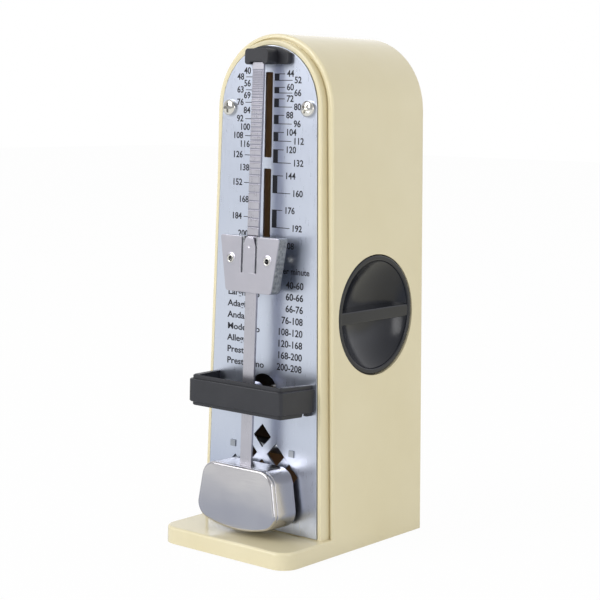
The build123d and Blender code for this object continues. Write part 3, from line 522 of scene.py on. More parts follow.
def whiteRoom():
    # plain white to the eye; surfaces are lit by a soft dim ceiling, reflections see a brighter horizon
    world = bpy.data.worlds.new("whiteRoom")
    world.use_nodes = True
    tree = world.node_tree
    tree.nodes.clear()
    ray = addNode(tree, "ShaderNodeLightPath").outputs
    around = addNode(tree, "ShaderNodeTexCoord").outputs["Generated"]
    towards = addNode(tree, "ShaderNodeSeparateXYZ", {0: around}).outputs
    colour = colourRamp(tree, remap(tree, towards["Z"], (-1.0, 1.0)), (
        (0.0, "#9A9DA6"), (0.48, "#B4B7BF"), (0.52, "#F2F3F6"), (0.72, "#E2E2E3"), (1.0, "#D6D6D6")))
    mirrored = remap(tree, towards["Y"], (-0.7, 0.7), (roomSize["frontMirror"], roomSize["backMirror"]))
    strength = remap(tree, ray["Is Glossy Ray"], (0.0, 1.0), (roomSize["lit"], mirrored))
    room = addNode(tree, "ShaderNodeBackground", {"Color": colour, "Strength": strength})
    seen = addNode(tree, "ShaderNodeBackground", {"Color": (1, 1, 1, 1), "Strength": 1.0})
    mixed = mixShaders(tree, ray["Is Camera Ray"], room.outputs[0], seen.outputs[0])
    addNode(tree, "ShaderNodeOutputWorld", {"Surface": mixed})
    bpy.context.scene.world = world


def addFloor():
    # pale paper sweep: almost white to the eye, its reflection cooler close in front and warmer at the back
    bm = bmesh.new()
    reach = roomSize["reach"]
    bm.faces.new([bm.verts.new((x * reach, y * reach, 0)) for x, y in ((-1, -1), (1, -1), (1, 1), (-1, 1))])
    material, tree, shader, place = newMaterial("paleFloor", Roughness=0.9)
    shader.inputs["Base Color"].default_value = linear(roomSize["floor"])
    ray = addNode(tree, "ShaderNodeLightPath").outputs
    depth = addNode(tree, "ShaderNodeSeparateXYZ", {0: place}).outputs["Y"]
    colour = colourRamp(tree, remap(tree, depth, (-0.2, 0.2)), (
        (0.18, roomSize["far"]), (0.29, roomSize["near"]), (0.45, roomSize["near"]), (0.55, roomSize["back"])))
    mirrored = addNode(tree, "ShaderNodeEmission", {"Color": colour}).outputs[0]
    paper = addNode(tree, "ShaderNodeEmission", {"Color": (1, 1, 1, 1)}).outputs[0]
    matt = shader.outputs[0]
    seen = mixShaders(tree, roomSize["white"], matt, paper)
    first = mixShaders(tree, ray["Is Camera Ray"], matt, seen)
    whole = mixShaders(tree, ray["Is Glossy Ray"], first, mirrored)
    output = next(node for node in tree.nodes if node.type == "OUTPUT_MATERIAL")
    tree.links.new(whole, output.inputs["Surface"])
    bmeshToPiece("floor", bm, caseFrame, material)


addCamera(cameraSize)
whiteRoom()
addFloor()
addSoftbox("frontBox", (-0.55, -1.1, 0.75), 0.9, 0.9, roomSize["front"])
addSoftbox("sideBox", (1.15, -0.2, 0.28), 0.35, 0.5, roomSize["side"])
addSoftbox("topBox", (0.1, 0.1, 1.3), 1.2, 1.2, roomSize["top"])
bpy.context.scene.view_settings.view_transform = "Standard"
print("camera and light set")


dialSize = {"halfBase": 22.7, "foot": 6.2, "top": 156.4, "taper": 1.6, "thick": 0.8, "edge": 0.07,
            "pivotHole": 5.6, "tenonX": 12.1, "tenonLow": 31.35, "tenonHalf": 1.05}
slotSize = {"half": 1.45, "upper": (122.3, 148.3), "lower": (92.0, 118.9), "corner": 0.45}
diamondSize = {"wide": 7.1, "high": 7.5, "pitch": 5.6, "top": 35.4, "corner": 0.25, "rows": (1, 2, 3, 2, 1)}


def dialPlate():
    holes = [rectangle(-slotSize["half"], slotSize["half"], *slotSize[name], slotSize["corner"])
             for name in ("upper", "lower")]
    wide, high, soft = diamondSize["wide"] / 2, diamondSize["high"] / 2, diamondSize["corner"]
    for row, count in enumerate(diamondSize["rows"]):
        z = diamondSize["top"] - row * diamondSize["pitch"]
        for place in range(count):
            x = (2 * place - count + 1) * diamondSize["pitch"]
            holes.append(filletCorners([(x - wide, z, soft), (x, z - high, soft), (x + wide, z, soft),
                                        (x, z + high, soft)], 0.1))
    holes.append(arcPoints((0, pivot.z), dialSize["pivotHole"], 0, 360, 56)[:-1])
    half = dialSize["tenonHalf"]
    for x in (-dialSize["tenonX"], dialSize["tenonX"]):
        for z in (dialSize["tenonLow"], pivot.z):  # where the movement's tenons come through
            holes.append(rectangle(x - half, x + half, z - half, z + half))
    plate = platePiece("dialPlate", [archOutline(dialSize)] + holes, 0, dialSize["thick"], dialSize["edge"],
                       dialFrame, dialSheet)
    return settle(plate, "case", "dial_metal", "dial_plate")


# the pendulum's law, in millimetres: a rod and bob about the pivot, and a weight that slides on it
law = {"gravity": 9810.0, "inertia": 4174.0, "moment": 805300.0, "zero": 21.6}


def tempoHeight(tempo):
    # where the weight's top edge stands for a tempo in beats per minute
    rate = (pi * tempo / 60) ** 2
    root = sqrt(law["gravity"] ** 2 - 4 * rate * (law["inertia"] * rate - law["moment"]))
    return pivot.z + law["zero"] + (root - law["gravity"]) / (2 * rate)


# pieces that follow a rule, grown by geometry nodes
def newTree(name, sockets):
    # a geometry tree with named inputs; gives the tree and the group input's outputs by name
    tree = bpy.data.node_groups.new(name, "GeometryNodeTree")
    tree.interface.new_socket("Geometry", in_out="INPUT", socket_type="NodeSocketGeometry")
    for label, kind in sockets.items():
        tree.interface.new_socket(label, in_out="INPUT", socket_type="NodeSocket" + kind)
    tree.interface.new_socket("Geometry", in_out="OUTPUT", socket_type="NodeSocketGeometry")
    return tree, addNode(tree, "NodeGroupInput").outputs


def finishTree(tree, geometry, material):
    whole = addNode(tree, "GeometryNodeRealizeInstances", {"Geometry": geometry})
    coloured = addNode(tree, "GeometryNodeSetMaterial", {"Geometry": whole.outputs[0], "Material": material})
    addNode(tree, "NodeGroupOutput", {"Geometry": coloured.outputs[0]})


def growPiece(name, start, tree, values, place, material, smooth=35):
    # runs a tree over a starting mesh and keeps the result as a plain placed mesh
    holder = addObject(name + "Start", start)
    modifier = holder.modifiers.new(name, "NODES")
    modifier.node_group = tree
    for item in tree.interface.items_tree:
        if item.in_out == "INPUT" and item.name in values:
            modifier[item.identifier] = values[item.name]
    bm = bmesh.new()
    takeMesh(bm, evaluatedMesh(holder))
    bpy.data.objects.remove(holder)
    return bmeshToPiece(name, bm, place, material, smooth)


slowest = 40.0  # beats per minute at mark 0
tempoSteps = ((0, 10, 2), (10, 14, 3), (14, 26, 4), (26, 30, 6), (30, 38, 8))  # first mark, last, beats apart


def tempoHeightNodes(tree, index, given):
    # tempo of a numbered mark, then the height the pendulum's law gives it
    tempo = slowest
    for first, last, beats in tempoSteps:
        past = calc(tree, "MAXIMUM", calc(tree, "SUBTRACT", index, first), 0.0)
        within = calc(tree, "MINIMUM", past, last - first)
        tempo = calc(tree, "ADD", calc(tree, "MULTIPLY", within, beats), tempo)
    rate = calc(tree, "POWER", calc(tree, "MULTIPLY", tempo, pi / 60), 2.0)
    pull = calc(tree, "SUBTRACT", calc(tree, "MULTIPLY", rate, given["Inertia"]), given["Moment"])
    inside = calc(tree, "SUBTRACT", calc(tree, "POWER", given["Gravity"], 2.0),
                  calc(tree, "MULTIPLY", calc(tree, "MULTIPLY", rate, 4.0), pull))
    reach = calc(tree, "DIVIDE", calc(tree, "SUBTRACT", calc(tree, "SQRT", inside), given["Gravity"]),
                 calc(tree, "MULTIPLY", rate, 2.0))
    return calc(tree, "ADD", reach, given["Zero"])


lawInputs = {"Gravity": "Float", "Inertia": "Float", "Moment": "Float", "Zero": "Float", "Material": "Material"}
lawValues = {"Gravity": law["gravity"], "Inertia": law["inertia"], "Moment": law["moment"],
             "Zero": law["zero"] + pivot.z}


def notchTree():
    # cuts one groove for every tempo across the front of the strip
    tree, given = newTree("tempoNotches", {"Marks": "Int", "Front": "Float", "Length": "Float",
                                           "Half Opening": "Float", "Depth": "Float", **lawInputs})
    height = tempoHeightNodes(tree, addNode(tree, "GeometryNodeInputIndex").outputs[0], given)
    spot = addNode(tree, "ShaderNodeCombineXYZ", {"Y": given["Front"], "Z": height})
    line = addNode(tree, "GeometryNodeMeshLine", {"Count": given["Marks"]})
    marks = addNode(tree, "GeometryNodeSetPosition", {"Geometry": line.outputs[0],
                                                      "Position": spot.outputs[0]})
    bar = addNode(tree, "GeometryNodeMeshCube", {"Size": (1, sqrt(2), sqrt(2))})
    size = addNode(tree, "ShaderNodeCombineXYZ", {"X": given["Length"], "Y": given["Depth"],
                                                  "Z": given["Half Opening"]})
    turned = addNode(tree, "GeometryNodeTransform", {"Geometry": bar.outputs[0], "Rotation": (pi / 4, 0, 0)})
    shaped = addNode(tree, "GeometryNodeTransform", {"Geometry": turned.outputs[0], "Scale": size.outputs[0]})
    cutters = addNode(tree, "GeometryNodeInstanceOnPoints", {
        "Points": marks.outputs[0], "Instance": shaped.outputs[0]})
    cut = addNode(tree, "GeometryNodeMeshBoolean", {0: given["Geometry"], 1: cutters.outputs[0]},
                  operation="DIFFERENCE", solver="EXACT")
    finishTree(tree, cut.outputs[0], given["Material"])
    return tree


def graduationTree():
    # thin bars of ink between two numbered marks; a bar whose marks are equal becomes a tick
    tree, given = newTree("graduations", {
        "Bars": "Int", "First": "Int", "First Span": "Int", "Step": "Int", "Span": "Int", "Early": "Int",
        "Left": "Float", "Right": "Float", "Line": "Float", "Ink": "Float", **lawInputs})
    index = addNode(tree, "GeometryNodeInputIndex").outputs[0]
    isFirst = calc(tree, "LESS_THAN", index, 0.5)
    low = calc(tree, "ADD", calc(tree, "MULTIPLY", index, given["Step"]), given["First"])
    low = calc(tree, "SUBTRACT", low, calc(tree, "MULTIPLY", isFirst, given["Early"]))
    span = calc(tree, "ADD", given["Span"], calc(tree, "MULTIPLY", isFirst, given["First Span"]))
    ends = [tempoHeightNodes(tree, mark, given) for mark in (low, calc(tree, "ADD", low, span))]
    middle = calc(tree, "MULTIPLY", calc(tree, "ADD", *ends), 0.5)
    tall = calc(tree, "ADD", calc(tree, "SUBTRACT", *ends), given["Line"])
    across = calc(tree, "MULTIPLY", calc(tree, "ADD", given["Left"], given["Right"]), 0.5)
    wide = calc(tree, "SUBTRACT", given["Right"], given["Left"])
    spot = addNode(tree, "ShaderNodeCombineXYZ", {
        "X": across, "Y": calc(tree, "MULTIPLY", given["Ink"], -0.5), "Z": middle})
    size = addNode(tree, "ShaderNodeCombineXYZ", {"X": wide, "Y": given["Ink"], "Z": tall})
    line = addNode(tree, "GeometryNodeMeshLine", {"Count": given["Bars"]})
    marks = addNode(tree, "GeometryNodeSetPosition", {"Geometry": line.outputs[0],
                                                      "Position": spot.outputs[0]})
    block = addNode(tree, "GeometryNodeMeshCube", {"Size": (1, 1, 1)})
    bars = addNode(tree, "GeometryNodeInstanceOnPoints", {
        "Points": marks.outputs[0], "Instance": block.outputs[0], "Scale": size.outputs[0]})
    finishTree(tree, bars.outputs[0], given["Material"])
    return tree


def fastenerTree():
    # sets one fastener on every point
    tree, given = newTree("fasteners", {"Fastener": "Object", "Turn": "Float", "Material": "Material"})
    source = addNode(tree, "GeometryNodeObjectInfo", {"Object": given["Fastener"]})
    index = addNode(tree, "GeometryNodeInputIndex").outputs[0]
    turn = addNode(tree, "ShaderNodeCombineXYZ", {"Y": calc(tree, "MULTIPLY", given["Turn"], index)})
    euler = addNode(tree, "FunctionNodeEulerToRotation", {"Euler": turn.outputs[0]})
    placed = addNode(tree, "GeometryNodeInstanceOnPoints", {
        "Points": given["Geometry"], "Instance": source.outputs["Geometry"], "Rotation": euler.outputs[0]})
    finishTree(tree, placed.outputs[0], given["Material"])
    return tree


notches = notchTree()
graduations = graduationTree()
fasteners = fastenerTree()


def setFasteners(name, bm, points, turn, place, material):
    # bm is one fastener at the origin, facing -Y, in millimetres
    one = bmeshToPiece(name + "One", bm, metreFrame, material)
    spots = bpy.data.meshes.new(name + "Spots")
    spots.from_pydata(points, [], [])
    values = {"Fastener": one, "Turn": turn, "Material": material}
    piece = growPiece(name, spots, fasteners, values, place, material)
    bpy.data.objects.remove(one)
    return piece


def cutPiece(piece, cutters, place):
    # takes each cutter (a bmesh in millimetres) out of a piece
    for bm in cutters:
        cutter = bmeshToPiece("cutter", bm, place, piece.data.materials[0])
        modifier = piece.modifiers.new("cut", "BOOLEAN")
        modifier.operation = "DIFFERENCE"
        modifier.solver = "EXACT"
        modifier.object = cutter
        bakeModifiers(piece)
        bpy.data.objects.remove(cutter)
    piece.data.set_sharp_from_angle(angle=radians(35))


def takePiece(bm, piece, place):
    # takes a piece's mesh, back in its frame's millimetres, into a bmesh and removes the piece
    bm.from_mesh(piece.data)
    bpy.data.objects.remove(piece)
    bm.transform(place.inverted() @ metreFrame)


def boxMesh(xs, ys, zs):
    bm = bmesh.new()
    stackOutline(bm, [Vector(p) for p in ((xs[0], zs[0]), (xs[1], zs[0]), (xs[1], zs[1]), (xs[0], zs[1]))],
                 [(0, ys[0]), (0, ys[1])])
    return bm


def boreMesh(x, z, depths, radius):
    bm = bmesh.new()
    lathe(bm, [(0, depths[0]), (radius, depths[0]), (radius, depths[1]), (0, depths[1])], 32,
          facingFront(x, 0, z))
    return bm


def pendulumRod():
    bm = bmesh.new()
    half, front = rodSize["width"] / 2, -rodSize["thick"] / 2
    outline = rectangle(-half, half, rodSize["bottom"], rodSize["top"], rodSize["topRound"])
    soft = rodSize["soft"]  # rolled strip, its edges barely broken
    stackOutline(bm, outline, roundEdge(soft, front, 1, 2) + roundEdge(soft, -front, -1, 2)[::-1])
    start = bpy.data.meshes.new("strip")
    bmesh.ops.recalc_face_normals(bm, faces=bm.faces)
    bm.to_mesh(start)
    bm.free()
    rod = growPiece("pendulumRod", start, notches, {
        "Marks": rodSize["notches"], "Front": front, "Length": 2 * rodSize["width"],
        "Half Opening": rodSize["notchHalf"], "Depth": rodSize["notchDeep"], "Material": rodNickel, **lawValues}, rodFrame, rodNickel, 25)
    return settle(rod, "pendulum", "rod_nickel", "pendulum_rod")


bobSize = {"top": 27.4, "topHalf": 13.5, "lowHalf": 16.1, "swing": 42.2, "topCorner": 4.9, "lowCorner": 4.9,
           "front": -5.0, "seam": -2.8, "rear": 6.2, "edge": 0.8, "crown": 0.35, "lip": 0.28, "middle": 17.5,
           "bulge": 0.03, "bulgeLow": 8, "slack": 0.12, "slotTop": 40}


def bobOutline():
    size = bobSize
    top = Vector((size["topHalf"], size["top"]))
    low = Vector((size["lowHalf"], pivot.z - sqrt(size["swing"] ** 2 - size["lowHalf"] ** 2)))
    along = (low - top).normalized()
    inward = Vector((along.y, -along.x))
    hinge = Vector((0, pivot.z))
    # the lower corner's centre lies on the side's offset and on a circle inside the foot's arc
    start = top + inward * size["lowCorner"] - hinge
    half = start.dot(along)
    reach = sqrt(half ** 2 - start.dot(start) + (size["swing"] - size["lowCorner"]) ** 2) - half
    centre = hinge + start + along * reach
    sideTurn = atan2(-inward.y, -inward.x) * 180 / pi
    footTurn = atan2(centre.y - hinge.y, centre.x) * 180 / pi
    sideEnd = centre - inward * size["lowCorner"]
    corner = filletCorners([(0, size["top"], 0), (top.x, top.y, size["topCorner"]), (*sideEnd, 0)])[1:-1]
    lower = arcPoints(centre, size["lowCorner"], sideTurn, footTurn, 14)
    foot = arcPoints(hinge, size["swing"], footTurn, -90, 18)[1:-1]
    points = corner + lower + foot
    for p in points:  # the sides swell a little
        share = min(1, max(0, (p.y - size["bulgeLow"]) / (size["top"] - size["bulgeLow"])))
        p.x *= 1 + size["bulge"] * sin(pi * share)
    return points + [Vector((-p.x, p.y)) for p in reversed(points)]


def pillow(bm, ring, outline, middle, depth, crown):
    # closes a face with a slight crown, ring by ring towards its middle
    centre = Vector((0, middle))
    steps = 7
    for k in range(1, steps):
        share = 1 - k / steps
        rise = crown * (1 - share ** 2)
        inner = [centre + (p - centre) * share for p in outline]
        nextRing = [bm.verts.new((p.x, depth - rise, p.y)) for p in inner]
        joinRings(bm, ring, nextRing)
        ring = nextRing
    bm.faces.new(ring)


def bobCover():
    bm = bmesh.new()
    size, outline = bobSize, bobOutline()
    faceDepth = size["front"] + size["crown"]
    layers = roundEdge(size["edge"], faceDepth, 1, 6) + roundEdge(size["lip"], size["seam"], -1, 3)[::-1]
    rings = stackOutline(bm, outline, layers, capFront=False)
    pillow(bm, rings[0], inset(outline, size["edge"]), size["middle"], faceDepth, size["crown"])
    return settle(bmeshToPiece("bobCover", bm, rodFrame, bobNickel), "pendulum", "bob_nickel", "bob_cover")


def bobBody():
    bm = bmesh.new()
    size = bobSize
    layers = roundEdge(size["lip"], size["seam"], 1, 3) + roundEdge(size["edge"], size["rear"], -1, 5)[::-1]
    stackOutline(bm, bobOutline(), layers)
    body = bmeshToPiece("bobBody", bm, rodFrame, bobNickel)
    half, deep = rodSize["width"] / 2 + size["slack"], rodSize["thick"] / 2 + size["slack"]
    cutPiece(body, [boxMesh((-half, half), (-deep, deep), (rodSize["bottom"] - 0.05, size["slotTop"]))], rodFrame)
    return settle(body, "pendulum", "bob_nickel", "bob_body")


weightSize = {"top": tempoHeight(200), "tall": 17.2, "topHalf": 11.9, "lowHalf": 9.2, "lowCorner": 1.2,
              "topCorner": 0.7, "front": -1.85, "plate": 0.5, "plateEdge": 0.09, "rear": 2.65, "slack": 0.15,
              "frontEdge": 0.12, "rearEdge": 0.5, "dimple": 1.9, "dimpleStand": 1.76,
              "tongueHalf": 2.45, "slot": 0.75, "slotLong": 11.2, "tipHalf": 1.45, "taper": 2.9,
              "tipRound": 1.1, "waistRound": 1.2, "slotRound": 0.3, "mouthRound": 0.45,
              "rivetX": 7.4, "rivetDrop": 7.2, "rivet": 1.35, "bore": 0.75, "hole": 1.02, "rivetHead": 0.35}
pressedRing = [(1.1, -0.2), (1.1, 0.16), (1.6, 0.16), (1.95, 0.03), (2.0, -0.2), (1.1, -0.2)]  # radius, height


def weightPlate():
    size = weightSize
    top, low = size["top"], size["top"] - size["tall"]
    slotLow, outer = top - size["slotLong"], size["tongueHalf"] + size["slot"]
    right = [(size["tipHalf"], top, size["tipRound"]),
             (size["tongueHalf"], top - size["taper"], size["waistRound"]),
             (size["tongueHalf"], slotLow, size["slotRound"]), (outer, slotLow, size["slotRound"]),
             (outer, top, size["mouthRound"]), (size["topHalf"], top, size["topCorner"]),
             (size["lowHalf"], low, size["lowCorner"])]
    outline = filletCorners(right + [(-x, z, r) for x, z, r in reversed(right)], 0.12)
    plate = platePiece("weightPlate", [outline], size["front"], size["plate"], size["plateEdge"], rodFrame,
                       sheetNickel)
    dimple = bmesh.new()
    bmesh.ops.create_uvsphere(dimple, u_segments=32, v_segments=24, radius=size["dimple"])
    dimple.transform(Matrix.Translation((0, size["front"] - size["dimpleStand"], top - size["taper"])))
    through = (-size["front"] - 1, 1 - size["front"])
    rivetPlaces = [(side * size["rivetX"], top - size["rivetDrop"]) for side in (-1, 1)]
    cutPiece(plate, [dimple] + [boreMesh(x, z, through, size["hole"]) for x, z in rivetPlaces], rodFrame)
    bm = bmesh.new()
    takePiece(bm, plate, rodFrame)
    for x, z in rivetPlaces:
        lathe(bm, pressedRing, 48, facingFront(x, size["front"], z))
    plate = bmeshToPiece("weightPlate", bm, rodFrame, sheetNickel)
    return settle(plate, "weight", "weight_sheet", "weight_spring")


def weightCasting():
    size = weightSize
    top, low = size["top"], size["top"] - size["tall"]
    half, reach = rodSize["width"] / 2 + size["slack"], size["slack"] + rodSize["thick"] / 2
    right = [(size["topHalf"], top, size["topCorner"]), (size["lowHalf"], low, size["lowCorner"])]
    outline = filletCorners(right + [(-x, z, r) for x, z, r in reversed(right)], 0.2)
    bm = bmesh.new()
    front = size["front"] + size["plate"]
    stackOutline(bm, outline, roundEdge(size["frontEdge"], front, 1, 2)
                 + roundEdge(size["rearEdge"], size["rear"], -1, 4)[::-1])
    casting = bmeshToPiece("weightCasting", bm, rodFrame, zinc)
    cutters = [boxMesh((-half, half), (front - 1, reach), (low - 1, top + 1))]
    cutters += [boreMesh(side * size["rivetX"], top - size["rivetDrop"], (-6, 6), size["hole"]) for side in (-1, 1)]
    cutPiece(casting, cutters, rodFrame)
    return settle(casting, "weight", "weight_casting", "weight_body")


def weightRivets():
    # tubular rivets, their rims rolled over the plate
    size = weightSize
    rim, bore, head = size["rivet"], size["bore"], size["rivetHead"]
    face = -size["front"]
    profile = [(bore, -size["rear"]), (bore, face - 0.1)]
    rimMiddle = (bore + rim) / 2
    for k in range(9):
        a = pi - pi * k / 8
        profile.append((rimMiddle + (rim - bore) / 2 * cos(a), face + head * 0.45 + head * 0.55 * sin(a)))
    profile += [(rim, face), (bore + 0.25, face - 0.02), (bore + 0.25, -size["rear"]), (bore, -size["rear"])]
    bm = bmesh.new()
    lathe(bm, profile, 40, facingFront())
    points = [(side * size["rivetX"], 0, size["top"] - size["rivetDrop"]) for side in (-1, 1)]
    rivets = setFasteners("weightRivets", bm, points, 0.0, rodFrame, brightNickel)
    return settle(rivets, "weight", "screw_steel", "weight_rivets")


knobSize = {"radius": 18.7, "ring": 1.7, "depth": 7.5, "edge": 0.45, "lip": 0.5, "rearEdge": 0.3,
            "step": 0.75, "draft": 0.1, "dish": 5.6, "bowl": 3.0, "bowlRings": 24,
            "barHalf": 2.0, "barDraft": 0.5, "barDrop": 0.25, "barEdge": 0.5, "barSunk": 0.2}


def windingKnob():
    size = knobSize
    low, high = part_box("winding_knob")
    centre = (low + high) / 2 / mm
    face, back = high.x / mm, high.x / mm - size["depth"]
    inner = size["radius"] - size["ring"]
    profile = [(0, back), (size["radius"] - size["rearEdge"], back), (size["radius"], back + size["rearEdge"])]
    profile += [(size["radius"] - d, x) for d, x in reversed(roundEdge(size["edge"], face, -1, 5))]
    profile += [(inner + d, x) for d, x in roundEdge(size["lip"], face, -1, 5)]
    rim, ledge = inner - size["draft"], face - size["step"]
    profile += [(rim, ledge)]
    for k in range(1, size["bowlRings"] + 1):
        share = 1 - k / size["bowlRings"]
        profile.append((rim * share, ledge - (size["dish"] - size["step"]) * (1 - share ** size["bowl"])))
    alongX = Matrix.Translation((0, centre.y, centre.z)) @ Matrix.Rotation(pi / 2, 4, "Y")
    bm = bmesh.new()
    lathe(bm, profile, 96, alongX)
    # the bar: a drafted rib across the bowl, its crest just under the ring
    crest, foot = face - size["barDrop"], face - size["dish"] - size["barSunk"]
    reach = inner + size["draft"]
    sections = [(crest - r, size["barHalf"] - d) for d, r in roundEdge(size["barEdge"], 0, 1, 4)]
    sections += [(foot, size["barHalf"] + size["barDraft"])]
    ring = sections + [(x, -half) for x, half in reversed(sections)]
    ends = [[bm.verts.new((x, centre.y + side * sqrt(reach ** 2 - h ** 2), centre.z + h)) for x, h in ring]
            for side in (-1, 1)]
    joinRings(bm, *ends)
    for end in ends:
        bm.faces.new(end)
    knob = bmeshToPiece("windingKnob", bm, caseFrame, knobPlastic)
    return settle(knob, "winder", "knob_plastic", "winding_knob")


bridgeSize = {"rearHalf": 20.7, "frontHalf": 19.0, "reach": 13.9, "tall": 9.4, "band": 6.9, "proud": 0.75,
              "drop": 0.4, "wall": 1.8, "inset": 2.3, "corner": 1.3, "innerCorner": 0.6, "soft": 0.3,
              "notch": 2.0, "notchHalf": 8, "bush": 2.4, "bushLong": 2.8, "bore": 0.8,
              "boss": 2.0, "screwX": 16.4, "screwHole": 0.99, "holeDeep": 5.0,
              "webHalf": 1, "webIn": 1.2, "webGap": 0.4}


def bridgeWall(distance):
    # plan outline of the channel, x and depth; only its outer side moves in by the distance
    size = bridgeSize
    sides = []
    for gone, corner in ((distance, size["corner"]), (size["inset"], size["innerCorner"])):
        rear, front, reach = size["rearHalf"] - gone, size["frontHalf"] - gone, size["reach"] - gone
        sides.append(filletCorners([(-rear, 0, 0), (-front, -reach, corner), (front, -reach, corner),
                                    (rear, 0, 0)], count=10))
    return sides[0] + sides[1][::-1]


def pendulumBridge():
    size = bridgeSize
    half, band, proud, soft = size["tall"] / 2, size["band"] / 2, size["proud"], size["soft"]
    upper = [(0.0, 0.0)]
    upper += [(d, band - x) for d, x in reversed(roundEdge(soft, 0, 1, 3))]
    upper += [(proud, band + 0.02)]
    upper += [(proud + d, half - x) for d, x in reversed(roundEdge(soft, 0, 1, 3))]
    levels = [(d, -z - size["drop"]) for d, z in reversed(upper[1:])] + upper[1:]
    bm = bmesh.new()
    rings = [[bm.verts.new((p.x, p.y, pivot.z + z)) for p in bridgeWall(d)] for d, z in levels]
    for near, far in zip(rings, rings[1:]):
        joinRings(bm, near, far)
    for ring in (rings[0], rings[-1]):
        for k in range(len(ring) // 2 - 1):
            bm.faces.new((ring[k], ring[k + 1], ring[-2 - k], ring[-1 - k]))
    bridge = bmeshToPiece("pendulumBridge", bm, dialFrame, blackPlastic)
    low, screwSides = pivot.z - half - size["drop"], (-size["screwX"], size["screwX"])
    cutPiece(bridge, [boxMesh((x - size["notchHalf"], x + size["notchHalf"]), (-2 * size["notch"], -size["notch"]),
                              (low - 1, low + size["notch"] / 2)) for x in screwSides], dialFrame)
    # bush for the staff's front pivot and bosses for the two screws
    bm = bmesh.new()
    bushFront = size["reach"] - size["proud"] - size["wall"]
    bushRear, bushEnd = bushFront - size["bushLong"], bushFront + 0.2
    bore, bush, boss, hole = size["bore"], size["bush"], size["boss"], size["screwHole"]
    lathe(bm, [(bore, bushRear), (bush - soft, bushRear), (bush, bushRear + soft), (bush, bushEnd),
               (bore, bushEnd), (bore, bushRear)], 48, facingFront(z=pivot.z))
    bossLong, webHalf = size["reach"] / 2, size["webHalf"]
    for x in screwSides:
        lathe(bm, [(hole, 0), (boss, 0), (boss, bossLong - soft), (boss - soft, bossLong), (0, bossLong),
                   (0, size["holeDeep"]), (hole, size["holeDeep"]), (hole, 0)], 40, facingFront(x, 0, pivot.z))
        outer = size["rearHalf"] - size["wall"] - size["webGap"]
        web = sorted((x + copysign(size["webIn"], x), copysign(outer, x)))
        stackOutline(bm, rectangle(*web, pivot.z - webHalf, pivot.z + webHalf, 0.1),
                     [(0, size["webGap"] - bossLong), (0, -0.05)])
    inside = bmeshToPiece("bridgeInside", bm, dialFrame, blackPlastic)
    joined = bmesh.new()
    for part in (bridge, inside):
        joined.from_mesh(part.data)
        bpy.data.objects.remove(part)
    whole = bmeshToPiece("pendulumBridge", joined, metreFrame, blackPlastic)
    return settle(whole, "case", "black_plastic", "pendulum_bridge")


clipSize = {"half": 4.6, "low": 150.6, "high": 155.2, "reach": 6.3, "lip": 0.6, "flange": 1.7, "flangeHalf": 8.8,
            "margin": 0.2, "roof": 151.5, "slack": 0.3, "corner": 1.1, "lowCorner": 0.9,
            "mouthRound": 0.2, "notchRound": 0.3, "edge": 0.18, "flangeEdge": 0.25}


def rodClip():
    size = clipSize
    notchHalf, notchTop = rodSize["width"] / 2 + size["slack"], rodSize["top"] + 0.05
    right = [(size["half"], size["high"], size["corner"]), (size["half"], size["low"], size["lowCorner"]),
             (notchHalf, size["low"], size["mouthRound"]), (notchHalf, notchTop, size["notchRound"])]
    outline = filletCorners(right + [(-x, z, r) for x, z, r in reversed(right)], 0.1)
    bm = bmesh.new()
    stackOutline(bm, outline, roundEdge(size["edge"], -size["reach"], 1, 3) + [(0, 0.3 - size["flange"])])
    hood = bmeshToPiece("hood", bm, dialFrame, blackPlastic)
    cutPiece(hood, [boxMesh((size["lip"] - size["half"], size["half"] - size["lip"]),
                            (size["lip"] - size["reach"], -size["flange"] - 0.02), (size["low"] - 1, size["roof"]))],
             dialFrame)
    # flange: the dial's arch, drawn in, between its lower edge and its sides
    arch = [p for p in archOutline(dialSize, -size["margin"], 160)
            if p.y > size["low"] and abs(p.x) < size["flangeHalf"]]
    edge = arch[0]
    flange = filletCorners([(0, size["low"], 0), (size["flangeHalf"], size["low"], size["lowCorner"]),
                            (size["flangeHalf"], edge.y, 0)], 0.1)
    flange = [Vector((-p.x, p.y)) for p in flange[-2:0:-1]] + flange[1:-1]
    flange += [Vector((size["flangeHalf"], edge.y - 0.1))] + arch + [Vector((-size["flangeHalf"], edge.y - 0.1))]
    bm = bmesh.new()
    takePiece(bm, hood, dialFrame)
    stackOutline(bm, flange, roundEdge(size["flangeEdge"], -size["flange"], 1, 3) + [(0, 0)])
    clip = bmeshToPiece("rodClip", bm, dialFrame, blackPlastic)
    return settle(clip, "case", "black_plastic", "rod_clip")


screwSize = {"head": 2.5, "tall": 1.5, "brim": 0.42, "cross": 0.8, "span": 3.1, "deep": 0.85, "shank": 1.3,
             "point": 0.4, "long": 9.0, "x": 15.8, "z": 137.3, "turn": 0.6}


